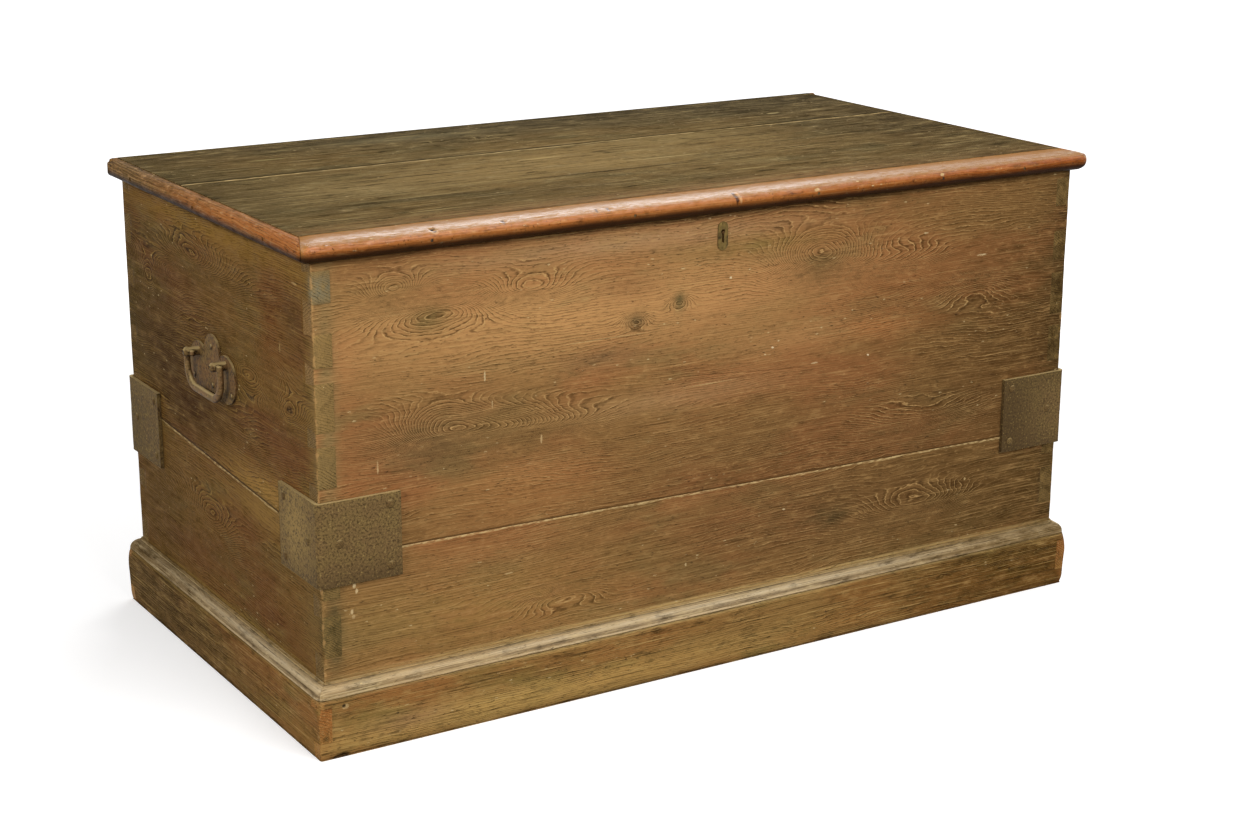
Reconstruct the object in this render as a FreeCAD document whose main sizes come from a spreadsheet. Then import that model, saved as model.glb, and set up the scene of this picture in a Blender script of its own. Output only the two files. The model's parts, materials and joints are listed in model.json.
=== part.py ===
"""A lidded chest of dovetailed boards on a plinth, as a parametric document.

The chest stands on z = 0 with its origin under the middle of the carcase. X runs along the
front, from the left end to the right, Y runs from the front to the back, and Z points up.
Every length is in millimetres.
"""

import FreeCAD, Part
import os
import Sketcher

DOC = FreeCAD.newDocument("LiddedChest")
SHEET = DOC.addObject("Spreadsheet::Sheet", "Dims")
SHEET.Label = "driving dimensions"


class Size:
    """A length that knows its number and the expression that gives it."""

    def __init__(self, value, text):
        self.value = value
        self.text = text

    def __add__(self, other):
        other = as_size(other)
        return Size(self.value + other.value, f"({self.text} + {other.text})")

    def __sub__(self, other):
        other = as_size(other)
        return Size(self.value - other.value, f"({self.text} - {other.text})")

    def __mul__(self, other):
        other = as_size(other)
        return Size(self.value * other.value, f"({self.text} * {other.text})")

    def __truediv__(self, other):
        other = as_size(other)
        return Size(self.value / other.value, f"({self.text} / {other.text})")

    def __neg__(self):
        return Size(-self.value, f"(-1 * {self.text})")

    __radd__ = __add__
    __rmul__ = __mul__


def as_size(number):
    """A plain number, such as a share or a count, as a Size."""
    if isinstance(number, Size):
        return number
    return Size(float(number), f"({number})")


ZERO = Size(0.0, "0")
ROW = [0]


def cell(alias, number, meaning):
    """Adds one driving dimension to the sheet."""
    ROW[0] += 1
    SHEET.set(f"A{ROW[0]}", meaning)
    SHEET.set(f"B{ROW[0]}", str(number))
    SHEET.setAlias(f"B{ROW[0]}", alias)
    return Size(float(number), f"Dims.{alias}")


# Carcase: four dovetailed sides, each of two boards, and a bottom of four
carcase_width = cell("carcase_width", 1180, "length of the carcase along the front")
carcase_depth = cell("carcase_depth", 626, "carcase from front face to back face")
carcase_top = cell("carcase_top", 625, "top edge of the carcase above the floor")
board = cell("board_thickness", 25, "thickness of the carcase boards")
bottom_lift = cell("bottom_lift", 10, "air under the bottom boards")
bottom_thick = cell("bottom_thickness", 20, "thickness of the bottom boards")
tail_flare = cell("tail_flare", 4, "how much each side of a tail flares over the board")
overrun = cell("cut_overrun", 5, "how far a cutting shape runs past what it cuts")

# Lower and upper edges of the tails, as shares of the carcase boards' height
TAIL_LOW_SHARES = (0.034, 0.163, 0.290, 0.397, 0.529, 0.647, 0.782, 0.913)
TAIL_HIGH_SHARES = (0.114, 0.255, 0.350, 0.484, 0.618, 0.750, 0.852, 0.980)

# Where the two boards of a side meet, as shares of the same height. Each joint slopes.
LONG_JOINT_LEFT_SHARE = 0.3815
LONG_JOINT_RIGHT_SHARE = 0.3563
END_JOINT_FRONT_SHARE = 0.4134
END_JOINT_BACK_SHARE = 0.4689
BOTTOM_BOARDS = 4
BOTTOM_NAIL_SHARES = (-0.3, 0.3)

# Plinth and its moulding
plinth_height = cell("plinth_height", 79, "height of the plinth boards")
plinth_top_out = cell("plinth_top_out", 19, "plinth stands out of the carcase at its top")
plinth_foot_out = cell("plinth_foot_out", 16, "plinth stands out of the carcase at the floor")
plinth_top_round = cell("plinth_top_round", 4, "rounding of the plinth's top edge")
plinth_foot_round = cell("plinth_foot_round", 2, "rounding of the plinth's foot and corners")
plinth_tail_low = cell("plinth_tail_low", 24, "lower edge of the tail at each plinth corner")
plinth_tail_high = cell("plinth_tail_high", 70, "upper edge of the tail at each plinth corner")
mould_height = cell("mould_height", 18, "height of the moulding on the plinth")
mould_round = cell("mould_round", 12, "radius of the moulding's quarter round")
mould_fillet = cell("mould_fillet", 5, "depth of the square edge above the quarter round")
mould_edge = cell("mould_edge", 2, "height of the moulding's square top edge")
mould_quirk = cell("mould_quirk", 1.5, "depth and height of the narrow grooves in the moulding")
PLINTH_NAIL_HEIGHT_SHARE = 0.55
LONG_NAIL_SHARES = (-1, -0.33, 0.33, 1)
SHORT_NAIL_SHARES = (-1, 0, 1)

# Lid
lid_gap = cell("lid_gap", 0.3, "air between the shut lid and the carcase")
lid_thick = cell("lid_thickness", 25.5, "thickness of the lid")
lid_over = cell("lid_overhang", 20, "lid stands out at the front and the ends")
lid_back = cell("lid_back_overhang", 8.4, "lid stands out at the back")
lid_corner = cell("lid_corner_radius", 17, "front corners of the lid in plan")
lid_back_corner = cell("lid_back_corner_radius", 12, "back corners of the lid in plan")
lid_round = cell("lid_nosing_radius", 12.4, "rounding of the lid's edge above and below")
nosing_front = cell("nosing_front_width", 48, "width of the front nosing")
lid_joint_left = cell("lid_joint_left", 225, "lid joint from the carcase back at the left end")
lid_joint_right = cell("lid_joint_right", 211, "lid joint from the carcase back at the right end")
batten_width = cell("batten_width", 60, "width of a batten under the lid")
batten_thick = cell("batten_thickness", 20, "thickness of a batten under the lid")
batten_inset = cell("batten_inset", 70, "batten from the inside of the carcase end")
batten_gap = cell("batten_end_gap", 22, "air from a batten's end to the carcase")
batten_bevel = cell("batten_bevel", 6, "bevel along a batten's lower edges")
NOSING_NAIL_SHARES = (-0.88, -0.31, 0.26, 0.68, 0.97)
BATTEN_SCREW_SHARES = (-0.85, -0.3, 0.3, 0.85)

# Iron corner plates
plate_leg = cell("corner_plate_leg", 108, "each leg of a corner plate, on the wood")
plate_high = cell("corner_plate_height", 109, "height of a corner plate")
plate_thick = cell("corner_plate_thickness", 5.5, "thickness of a corner plate")
plate_low = cell("corner_plate_low", 220, "lower edge of the front corner plates")
plate_back_rise = cell("corner_plate_back_rise", 11, "how much higher the back plates sit")
plate_bend = cell("corner_plate_bend", 7, "outside radius of a corner plate's bend")
nail_head = cell("nail_head_radius", 6, "radius of a wrought nail's head")
nail_head_thick = cell("nail_head_thickness", 1.6, "height of a wrought nail's head")
nail_shank = cell("nail_shank_radius", 2.4, "radius of a wrought nail's shank")
nail_long = cell("nail_length", 22, "length of a wrought nail in the wood")
nail_edge = cell("nail_edge", 15, "nail from the edges of a corner plate")
nail_bend = cell("nail_bend", 24, "middle nail of each leg from the corner of the carcase")

# Small nails and screws
brad = cell("brad_radius", 1.8, "radius of a brad")
brad_long = cell("brad_length", 34, "length of a brad")
brad_spacing = cell("brad_inset", 90, "first brad from the end of what it holds")
screw_head = cell("screw_head_radius", 4, "radius of a screw's head")
screw_head_thick = cell("screw_head_thickness", 2, "depth of a screw's countersunk head")
screw_shank = cell("screw_shank_radius", 1.9, "radius of a screw's shank")
screw_long = cell("screw_length", 17, "length of a screw")
batten_screw_long = cell("batten_screw_length", 34, "length of the screws through the battens")

# Hinges
hinge_inset = cell("hinge_inset", 220, "middle of each hinge from the end of the carcase")
hinge_behind = cell("hinge_behind", 2, "hinge pin behind the carcase's back face")
knuckle = cell("knuckle_radius", 6, "outside radius of a hinge knuckle")
knuckle_long = cell("knuckle_length", 18, "length of one of a hinge's three knuckles")
knuckle_gap = cell("knuckle_gap", 0.4, "air between two knuckles")
knuckle_room = cell("knuckle_room", 0.6, "air round the knuckles in the wood")
hinge_pin = cell("hinge_pin_radius", 2.5, "radius of a hinge pin")
hinge_play = cell("hinge_pin_play", 0.05, "air round a hinge pin")
leaf_thick = cell("leaf_thickness", 3, "thickness of the hinge leaves")
leaf_drop = cell("leaf_drop", 92, "lower leaf down the inside of the back")
strap_reach = cell("strap_reach", 300, "upper leaf along the lid from the pin")
strap_root = cell("strap_root_width", 44, "width of the upper leaf near the pin")
strap_tip = cell("strap_tip_width", 26, "width of the upper leaf at its tip")
KNUCKLES = 3
STRAP_SCREW_SHARES = (0.12, 0.4, 0.68, 0.96)

# Screws of a lower leaf, as shares of half its width and of its drop
LEAF_SCREW_SHARES = ((-0.55, 0.3), (0.55, 0.3), (0, 0.55), (-0.55, 0.82), (0.55, 0.82))

# Lock, keyhole and hook plate
lock_place = cell("lock_place", 9, "lock's middle to the left of the middle of the front")
lock_wide = cell("lock_width", 84, "width of the lock case")
lock_high = cell("lock_height", 60, "height of the lock case")
lock_deep = cell("lock_depth", 14, "depth of the lock case")
lock_wall = cell("lock_wall", 2, "thickness of the lock's plates")
lock_top = cell("lock_selvage", 2.5, "thickness of the plate on the front's top edge")
lock_play = cell("lock_play", 0.5, "air round the moving parts of the lock")
key_drop = cell("key_drop", 26.2, "key pin below the carcase's top edge")
key_head = cell("keyhole_radius", 3.2, "radius of the round end of the keyhole")
key_slot = cell("keyhole_slot", 3.4, "width of the keyhole's slot")
key_long = cell("keyhole_length", 14.5, "slot's end below the key pin")
key_pin = cell("key_pin_radius", 1.9, "radius of the key pin")
ward_out = cell("ward_radius", 7.4, "outside radius of the ward")
ward_thick = cell("ward_thickness", 1.4, "wall of the ward")
ward_high = cell("ward_height", 2.6, "height of the ward")
bolt_travel = cell("bolt_travel", 10, "travel of the lock's bolt")
bolt_bar = cell("bolt_bar_height", 7, "height of the bolt's bar")
bolt_thick = cell("bolt_thickness", 4, "thickness of the bolt")
bolt_arm = cell("bolt_arm_height", 5, "height of the bolt's two arms")
bolt_arm_long = cell("bolt_arm_length", 12.5, "length of the bolt's two arms")
bolt_post = cell("bolt_post_width", 4, "width of the posts that carry the arms")
bolt_notch = cell("bolt_notch_radius", 4.2, "radius of the notch that the key turns in")
staple_apart = cell("staple_spacing", 44, "spacing of the two staples")
staple_shift = cell("staple_shift", 6, "staples' middle to the right of the lock's middle")
staple_wide = cell("staple_width", 8.6, "width of a staple across the board")
staple_thick = cell("staple_thickness", 3.5, "thickness of a staple along the front")
staple_deep = cell("staple_depth", 14, "how far a staple reaches below the lid")
staple_wall = cell("staple_wall", 1.7, "wall round a staple's eye")
hook_plate_long = cell("hook_plate_length", 86, "length of the hook plate")
hook_plate_wide = cell("hook_plate_width", 20, "width of the hook plate")
hook_plate_thick = cell("hook_plate_thickness", 2.5, "thickness of the hook plate")
spring_thick = cell("lock_spring_thickness", 0.8, "thickness of the lock's spring")
spring_long = cell("lock_spring_length", 13, "length of the lock's spring")
spring_left = cell("lock_spring_left", 7.75, "spring's foot to the left of the lock's middle")
spring_gap = cell("lock_spring_gap", 0.2, "air between the spring's foot and the bolt")
SPRING_STEP_SHARE = 0.3
SPRING_BEND_SHARE = 1.8
lock_rivet = cell("lock_rivet_radius", 0.95, "radius of a rivet in the lock case")
RIVET_ACROSS_SHARES = (-0.44, 0.44)
RIVET_UP_SHARES = (0.1, 0.9)
HOOK_SCREW_SHARES = (-0.42, 0, 0.42)
shield_wide = cell("escutcheon_width", 15.5, "width of the keyhole plate")
shield_high = cell("escutcheon_height", 38, "height of the keyhole plate")
shield_thick = cell("escutcheon_thickness", 1.4, "thickness of the keyhole plate")
shield_pin = cell("escutcheon_pin_radius", 1.1, "radius of the keyhole plate's pins")
shield_pin_long = cell("escutcheon_pin_length", 7, "length of the keyhole plate's pins")
shield_pin_proud = cell("escutcheon_pin_proud", 0.5, "how far a pin's head stands out")
shield_pin_inset = cell("escutcheon_pin_inset", 2.64, "pins from the keyhole plate's two ends")

# Lifting handles
handle_axis = cell("handle_axis_height", 438, "handle's pivot above the floor")
handle_out = cell("handle_axis_out", 15, "handle's pivot from the carcase end")
handle_lug_place = cell("handle_lug_place", 45, "each lug from the middle of the handle")
handle_lug = cell("handle_lug_radius", 6.5, "radius of a lug")
handle_lug_reach = cell("handle_lug_reach", 25, "how far a lug stands out of the wood")
handle_lug_round = cell("handle_lug_round", 3, "rounding of a lug's tip")
handle_plate_thick = cell("handle_plate_thickness", 3.5, "thickness of a handle's plate")
handle_side_lobe = cell("handle_side_lobe", 32, "radius of the plate's side lobes")
handle_top_lobe = cell("handle_top_lobe", 26, "radius of the plate's top lobe")
handle_top_rise = cell("handle_top_rise", 6, "middle of the top lobe above the pivot")
handle_side_drop = cell("handle_side_drop", 19, "middle of the side lobes below the pivot")
handle_waist = cell("handle_waist_drop", 27, "plate's middle bottom edge below the side lobes' middle")
bail_half = cell("bail_half_width", 56.5, "each leg of the bail from its middle")
bail_drop = cell("bail_drop", 45, "bail's grip below its pivot")
bail_bend = cell("bail_bend", 28, "radius of the bail's two bends")
bail_bar = cell("bail_bar_radius", 4.5, "radius of the bail's bar")
bail_pivot = cell("bail_pivot_radius", 4, "radius of the bail's pivots")
bail_play = cell("bail_play", 0.08, "air round the bail's pivots")
bail_pivot_end = cell("bail_pivot_end", 5, "how far a pivot passes its lug")
handle_screw_place = cell("handle_screw_place", 18, "handle screws from the lobes' middles")

HALF = 0.5
half_width = carcase_width * HALF
half_depth = carcase_depth * HALF
board_low = bottom_lift + bottom_thick
board_tall = carcase_top - board_low
lid_low = carcase_top + lid_gap
hinge_place = half_width - hinge_inset

# The front nosing is wider than the end ones, so its mitre is steeper than 45 degrees
mitre_slope = nosing_front / lid_over

NODES = {}


def bind(thing, values):
    """Sets each property of an object to a Size, through an expression."""
    for name, size in values.items():
        thing.setExpression(name, as_size(size).text)
    return thing


def place(thing, x=ZERO, y=ZERO, z=ZERO, turn=None):
    """Places an object by Sizes, turned by a fixed rotation if one is given."""
    if turn is not None:
        thing.Placement = FreeCAD.Placement(FreeCAD.Vector(), turn)
    return bind(thing, {
        "Placement.Base.x": x, "Placement.Base.y": y, "Placement.Base.z": z,
    })


def block(name, low, size):
    """A rectangular block from its lowest corner and its three sizes."""
    thing = bind(DOC.addObject("Part::Box", name), {
        "Length": size[0], "Width": size[1], "Height": size[2],
    })
    return place(thing, *low)


ALONG = {
    "+x": FreeCAD.Rotation(FreeCAD.Vector(0, 1, 0), 90),
    "-x": FreeCAD.Rotation(FreeCAD.Vector(0, 1, 0), -90),
    "+y": FreeCAD.Rotation(FreeCAD.Vector(1, 0, 0), -90),
    "-y": FreeCAD.Rotation(FreeCAD.Vector(1, 0, 0), 90),
    "+z": FreeCAD.Rotation(),
    "-z": FreeCAD.Rotation(FreeCAD.Vector(1, 0, 0), 180),
}
STEP = {
    "+x": (1, 0, 0), "-x": (-1, 0, 0), "+y": (0, 1, 0),
    "-y": (0, -1, 0), "+z": (0, 0, 1), "-z": (0, 0, -1),
}


def rod(name, start, way, radius, length):
    """A cylinder that starts at a point and runs one way along an axis."""
    thing = bind(DOC.addObject("Part::Cylinder", name), {"Radius": radius, "Height": length})
    return place(thing, *start, turn=ALONG[way])


def cone(name, start, way, radius, end_radius, length):
    """A cone's frustum that starts at a point and runs one way along an axis."""
    thing = bind(DOC.addObject("Part::Cone", name), {
        "Radius1": radius, "Radius2": end_radius, "Height": length,
    })
    return place(thing, *start, turn=ALONG[way])


def joined(name, pieces):
    """One solid fused from several."""
    thing = DOC.addObject("Part::MultiFuse", name)
    thing.Shapes = pieces
    return thing


def group(name, pieces):
    """Several separate solids in one object."""
    thing = DOC.addObject("Part::Compound", name)
    thing.Links = pieces
    return thing


def less(name, base, tool):
    """What is left of the base where the tool has been."""
    thing = DOC.addObject("Part::Cut", name)
    thing.Base = base
    thing.Tool = tool
    return thing


def shared(name, base, tool):
    """What the base and the tool share."""
    thing = DOC.addObject("Part::Common", name)
    thing.Base = base
    thing.Tool = tool
    return thing


def node(label, thing):
    """Makes an object a piece of the chest, under its own name."""
    thing.Label = label
    NODES[label] = thing
    return thing


def draw_edge(sketch, start, end, point):
    """Draws the line or the arc that leads to an outline's point."""
    if len(point) == 2:
        sketch.addGeometry(Part.LineSegment(start, end))
        return
    radius = point[2].value
    chord = end - start
    side = FreeCAD.Vector(-chord.y, chord.x, 0).normalize() * point[3]
    rise = radius - max(radius ** 2 - (chord.Length * HALF) ** 2, 0) ** HALF
    sketch.addGeometry(Part.Arc(start, (start + end) * HALF + side * rise, end))


def end_at(sketch, geometry, spot):
    """Which end of an edge, 1 or 2, lies at a spot."""
    at_start = sketch.getPoint(geometry, 1).distanceToPoint(spot)
    at_end = sketch.getPoint(geometry, 2).distanceToPoint(spot)
    return 1 if at_start < at_end else 2


def meet(sketch, geometry, follower, spot):
    """Joins two edges at the spot where both end."""
    sketch.addConstraint(Sketcher.Constraint(
        "Coincident", geometry, end_at(sketch, geometry, spot),
        follower, end_at(sketch, follower, spot)))


def hold(sketch, kind, geometry, end, size):
    """Holds a point at a signed distance from the sketch's origin."""
    number = sketch.addConstraint(Sketcher.Constraint(kind, -1, 1, geometry, end, size.value))
    sketch.setExpression(f"Constraints[{number}]", size.text)


def hold_edge(sketch, geometry, spot, point):
    """Holds one end of an edge at an outline's point, and an arc at its radius."""
    end = end_at(sketch, geometry, spot)
    hold(sketch, "DistanceX", geometry, end, point[0])
    hold(sketch, "DistanceY", geometry, end, point[1])
    if len(point) > 2:
        number = sketch.addConstraint(Sketcher.Constraint("Radius", geometry, point[2].value))
        sketch.setExpression(f"Constraints[{number}]", point[2].text)


def spots_of(points):
    """The numbers of an outline's points, as vectors."""
    return [FreeCAD.Vector(point[0].value, point[1].value, 0) for point in points]


def draw_loop(sketch, outline):
    """Draws one closed outline. A point is (across, up); a third entry is the radius of the
    arc that leads to it, and a fourth is 1 or -1 for the side that the arc bows to."""
    spots = spots_of(outline)
    for number, point in enumerate(outline):
        draw_edge(sketch, spots[number - 1], spots[number], point)
    for number, point in enumerate(outline):
        meet(sketch, number, (number + 1) % len(outline), spots[number])
        hold_edge(sketch, number, spots[number], point)


def draw_path(sketch, points):
    """Draws an open path of lines and arcs, whose points are written as an outline's are."""
    spots = spots_of(points)
    for number in range(1, len(points)):
        draw_edge(sketch, spots[number - 1], spots[number], points[number])
    for number in range(1, len(points)):
        if number < len(points) - 1:
            meet(sketch, number - 1, number, spots[number])
        hold_edge(sketch, number - 1, spots[number], points[number])
    hold_edge(sketch, 0, spots[0], points[0])


def prism(name, plane, outline, length, turned=False, centred=False):
    """A body with one padded outline, on one of its own origin planes."""
    body = DOC.addObject("PartDesign::Body", name)
    sketch = body.newObject("Sketcher::SketchObject", name + "_outline")
    flats = [flat for flat in body.Origin.OriginFeatures if flat.Role == plane]
    sketch.AttachmentSupport = [(flats[0], "")]
    sketch.MapMode = "FlatFace"
    draw_loop(sketch, outline)
    pad = body.newObject("PartDesign::Pad", name + "_pad")
    pad.Profile = sketch
    pad.Reversed = turned
    pad.Midplane = centred
    bind(pad, {"Length": length})
    body.Tip = pad
    return body


def end_outline():
    """An end panel with tails at both edges; Y across and Z up."""
    front = []
    for low_share, high_share in zip(TAIL_LOW_SHARES, TAIL_HIGH_SHARES):
        low = board_low + board_tall * low_share
        high = board_low + board_tall * high_share
        front += [(ZERO, low + tail_flare), (board, low), (board, high),
                  (ZERO, high - tail_flare)]
    front = [(ZERO, board_low)] + front + [(ZERO, carcase_top)]
    edge = half_depth - board
    left = [(-edge - out, up) for out, up in front]
    right = [(edge + out, up) for out, up in reversed(front)]
    return left + right


def build_end_panels():
    """The two end panels, before each is cut along its joint."""
    panels = {}
    for side, start in (("left", -half_width), ("right", half_width - board)):
        panel = prism(f"{side}_panel", "YZ_Plane", end_outline(), board)
        panels[side] = place(panel, x=start)
    return panels


def halves(name, plane, near_share, far_share, span, start, depth):
    """Two prisms that meet in a sloping joint, for the lower and the upper board."""
    reach = span + overrun
    low_end = board_low + board_tall * near_share
    high_end = board_low + board_tall * far_share
    floor = board_low - overrun
    roof = carcase_top + overrun
    outlines = {
        "lower": [(-reach, floor), (reach, floor), (reach, high_end), (-reach, low_end)],
        "upper": [(-reach, low_end), (reach, high_end), (reach, roof), (-reach, roof)],
    }
    return {
        part: place(prism(f"{name}_{part}_part", plane, outline, depth), **start)
        for part, outline in outlines.items()
    }


def build_carcase_sides():
    """Eight boards: an upper and a lower one on each side, dovetailed at the corners."""
    panels = build_end_panels()
    ends = joined("both_panels", [panels["left"], panels["right"]])
    for side, start in (("left", -half_width), ("right", half_width - board)):
        cuts = halves(side, "YZ_Plane", END_JOINT_FRONT_SHARE, END_JOINT_BACK_SHARE, half_depth,
                      {"x": start - overrun}, board + overrun * 2)
        for part, cut in cuts.items():
            node(f"{side}_end_{part}", shared(f"{side}_{part}", panels[side], cut))
    for side, start in (("front", -half_depth), ("back", half_depth - board)):
        blank = block(f"{side}_blank", (-half_width, start, board_low),
                      (carcase_width, board, board_tall))
        panel = less(f"{side}_panel", blank, ends)
        cuts = halves(side, "XZ_Plane", LONG_JOINT_LEFT_SHARE, LONG_JOINT_RIGHT_SHARE, half_width,
                      {"y": start + board + overrun}, board + overrun * 2)
        for part, cut in cuts.items():
            piece = shared(f"{side}_{part}", panel, cut)
            if (side, part) == ("front", "upper"):
                piece = less("front_upper_cut", piece, lock_recess())
            if (side, part) == ("back", "upper"):
                piece = less("back_upper_cut", piece, hinge_recess())
            node(f"{side}_board_{part}", piece)


def build_bottom():
    """Four bottom boards, nailed up to the carcase and hidden by the plinth."""
    width = carcase_depth / BOTTOM_BOARDS
    for number in range(BOTTOM_BOARDS):
        low = (-half_width, width * number - half_depth, bottom_lift)
        node(f"bottom_board_{number + 1}",
             block(f"bottom_{number + 1}", low, (carcase_width, width, bottom_thick)))
    nails = []
    inset = board * HALF
    reach = bottom_thick + nail_long
    for number in range(BOTTOM_BOARDS):
        for row, side in enumerate((-1, 1)):
            for spot, share in enumerate(BOTTOM_NAIL_SHARES):
                start = ((half_width - inset) * side, width * (number + HALF + share) - half_depth,
                         bottom_lift)
                nails.append(rod(f"bottom_nail_{number}_{row}_{spot}", start, "+z",
                                 nail_shank, reach))
    node("bottom_nails", group("bottom_nail_group", nails))


def build_plinth():
    """Four plinth boards that taper towards the floor, tailed together at the corners."""
    wide_foot = half_width + plinth_foot_out
    wide_top = half_width + plinth_top_out
    deep_foot = half_depth + plinth_foot_out
    deep_top = half_depth + plinth_top_out
    blank = bind(DOC.addObject("Part::Wedge", "plinth_wedge"), {
        "Xmin": -wide_foot, "Xmax": wide_foot, "Zmin": -deep_foot, "Zmax": deep_foot,
        "X2min": -wide_top, "X2max": wide_top, "Z2min": -deep_top, "Z2max": deep_top,
        "Ymin": ZERO, "Ymax": plinth_height,
    })
    blank.Placement = FreeCAD.Placement(FreeCAD.Vector(), ALONG["-y"])
    DOC.recompute()
    worn = DOC.addObject("Part::Fillet", "plinth_worn")
    worn.Base = blank
    worn.Edges = plinth_edges(blank)
    frame = less("plinth_frame", worn, block(
        "plinth_inside", (-half_width, -half_depth, -overrun),
        (carcase_width, carcase_depth, plinth_height + overrun * 2)))
    reach = plinth_top_out + overrun
    tall = plinth_tail_high - plinth_tail_low
    full = plinth_height + overrun * 2
    for side, edge in (("left", -half_width - reach), ("right", half_width)):
        main = block(f"plinth_{side}_span", (edge, -half_depth, -overrun),
                     (reach, carcase_depth, full))
        tail = block(f"plinth_{side}_tail", (edge, -half_depth - reach, plinth_tail_low),
                     (reach, carcase_depth + reach * 2, tall))
        node(f"plinth_{side}",
             shared(f"plinth_{side}_board", frame, joined(f"plinth_{side}_cut", [main, tail])))
    ends = [NODES["plinth_left"], NODES["plinth_right"]]
    rest = less("plinth_long_boards", frame, joined("plinth_ends", ends))
    for side, edge in (("front", -half_depth - reach), ("back", half_depth)):
        span = block(f"plinth_{side}_span", (-half_width - reach, edge, -overrun),
                     (carcase_width + reach * 2, reach, full))
        node(f"plinth_{side}", shared(f"plinth_{side}_board", rest, span))
    build_plinth_nails()


def plinth_edges(blank):
    """The blank's outer edges with their rounding: its top, its foot and its corners."""
    edges = []
    for number, edge in enumerate(blank.Shape.Edges, 1):
        box = edge.BoundBox
        at_top = box.ZMin > plinth_height.value * HALF
        radius = plinth_top_round.value if at_top else plinth_foot_round.value
        edges.append((number, radius, radius))
    return edges


def build_plinth_nails():
    """Brads through the plinth into the lower boards, flush with the wood."""
    nails = []
    up = plinth_height * PLINTH_NAIL_HEIGHT_SHARE
    out = plinth_foot_out + (plinth_top_out - plinth_foot_out) * PLINTH_NAIL_HEIGHT_SHARE
    for column, share in enumerate(LONG_NAIL_SHARES):
        across = (half_width - brad_spacing) * share
        nails.append(rod(f"plinth_brad_front_{column}", (across, -half_depth - out, up), "+y",
                         brad, brad_long))
        nails.append(rod(f"plinth_brad_back_{column}", (across, half_depth + out, up), "-y",
                         brad, brad_long))
    for row, share in enumerate(SHORT_NAIL_SHARES):
        along = (half_depth - brad_spacing) * share
        nails.append(rod(f"plinth_brad_left_{row}", (-half_width - out, along, up), "+x",
                         brad, brad_long))
        nails.append(rod(f"plinth_brad_right_{row}", (half_width + out, along, up), "-x",
                         brad, brad_long))
    node("plinth_nails", group("plinth_nail_group", nails))


def mould_outline(sign):
    """The moulding's section: out from the carcase across, and up from the plinth.

    The quarter round stands between a groove at the foot and one under the square top edge."""
    low = plinth_height
    foot = mould_fillet + mould_round
    shoulder = low + mould_height - mould_edge - mould_quirk
    spring = shoulder - mould_round
    top = low + mould_height
    points = [
        (ZERO, low),
        (foot - mould_quirk * 2, low),
        (foot - mould_quirk * 2, low + mould_quirk),
        (foot, low + mould_quirk),
        (foot, spring),
        (mould_fillet, shoulder, mould_round, -sign),
        (mould_fillet - mould_quirk, shoulder),
        (mould_fillet - mould_quirk, shoulder + mould_quirk),
        (mould_fillet, shoulder + mould_quirk),
        (mould_fillet, top),
        (ZERO, top),
    ]
    return [(point[0] * sign, *point[1:]) for point in points]


def build_moulding():
    """Four lengths of moulding on top of the plinth, mitred at the corners."""
    out = mould_fillet + mould_round + overrun
    tall = mould_height + overrun * 2
    sides = {
        "front": ("YZ_Plane", -1, {"y": -half_depth}, half_width, half_depth),
        "back": ("YZ_Plane", 1, {"y": half_depth}, half_width, half_depth),
        "left": ("XZ_Plane", -1, {"x": -half_width}, half_depth, half_width),
        "right": ("XZ_Plane", 1, {"x": half_width}, half_depth, half_width),
    }
    for side, (plane, sign, start, half_span, half_across) in sides.items():
        length = (half_span + out) * 2
        strip = place(prism(f"mould_{side}_strip", plane, mould_outline(sign), length,
                            centred=True), **start)
        near = half_across * sign
        far = (half_across + out) * sign
        inner = half_span
        outer = half_span + out
        if plane == "YZ_Plane":
            plan = [(-inner, near), (inner, near), (outer, far), (-outer, far)]
        else:
            plan = [(near, -inner), (near, inner), (far, outer), (far, -outer)]
        mitre = place(prism(f"mould_{side}_mitre", "XY_Plane", plan, tall),
                      z=plinth_height - overrun)
        node(f"plinth_moulding_{side}", shared(f"mould_{side}", strip, mitre))


def build_corner_plates():
    """Four bent iron plates, each nailed round a corner of the carcase."""
    leg = plate_leg + plate_thick
    heads = []
    for side, across in (("left", -1), ("right", 1)):
        for face, along in (("front", -1), ("back", 1)):
            low = plate_low + plate_back_rise if face == "back" else plate_low
            corner_x = (half_width + plate_thick) * across
            corner_y = (half_depth + plate_thick) * along
            inward_x = -leg * across
            inward_y = -leg * along
            bend_side = -across * along
            outline = [
                (corner_x + inward_x, corner_y),
                (corner_x + inward_x, corner_y - plate_thick * along),
                (corner_x - plate_thick * across, corner_y - plate_thick * along),
                (corner_x - plate_thick * across, corner_y + inward_y),
                (corner_x, corner_y + inward_y),
                (corner_x, corner_y - plate_bend * along),
                (corner_x - plate_bend * across, corner_y, plate_bend, bend_side),
            ]
            bent = place(prism(f"plate_{face}_{side}_bent", "XY_Plane", outline, plate_high),
                         z=low)
            spots = plate_nails(face, side, across, along, low)
            heads += spots
            holes = joined(f"plate_{face}_{side}_holes", [
                rod(f"plate_{face}_{side}_hole_{number}", start, way, nail_shank,
                    plate_thick + overrun)
                for number, (start, way) in enumerate(plate_nail_places(across, along, low))
            ])
            node(f"corner_plate_{face}_{side}",
                 less(f"plate_{face}_{side}", bent, holes))
    node("corner_plate_nails", group("plate_nail_group", heads))


def plate_nail_places(across, along, low):
    """Where a corner plate is nailed: three nails in each leg, near its corners."""
    far = plate_leg - nail_edge
    high = plate_high - nail_edge
    for reach, up in ((far, nail_edge), (far, high), (nail_bend, plate_high * HALF)):
        yield ((half_width - reach) * across, (half_depth + plate_thick) * along,
               low + up), "-y" if along > 0 else "+y"
        yield ((half_width + plate_thick) * across, (half_depth - reach) * along,
               low + up), "-x" if across > 0 else "+x"


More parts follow.
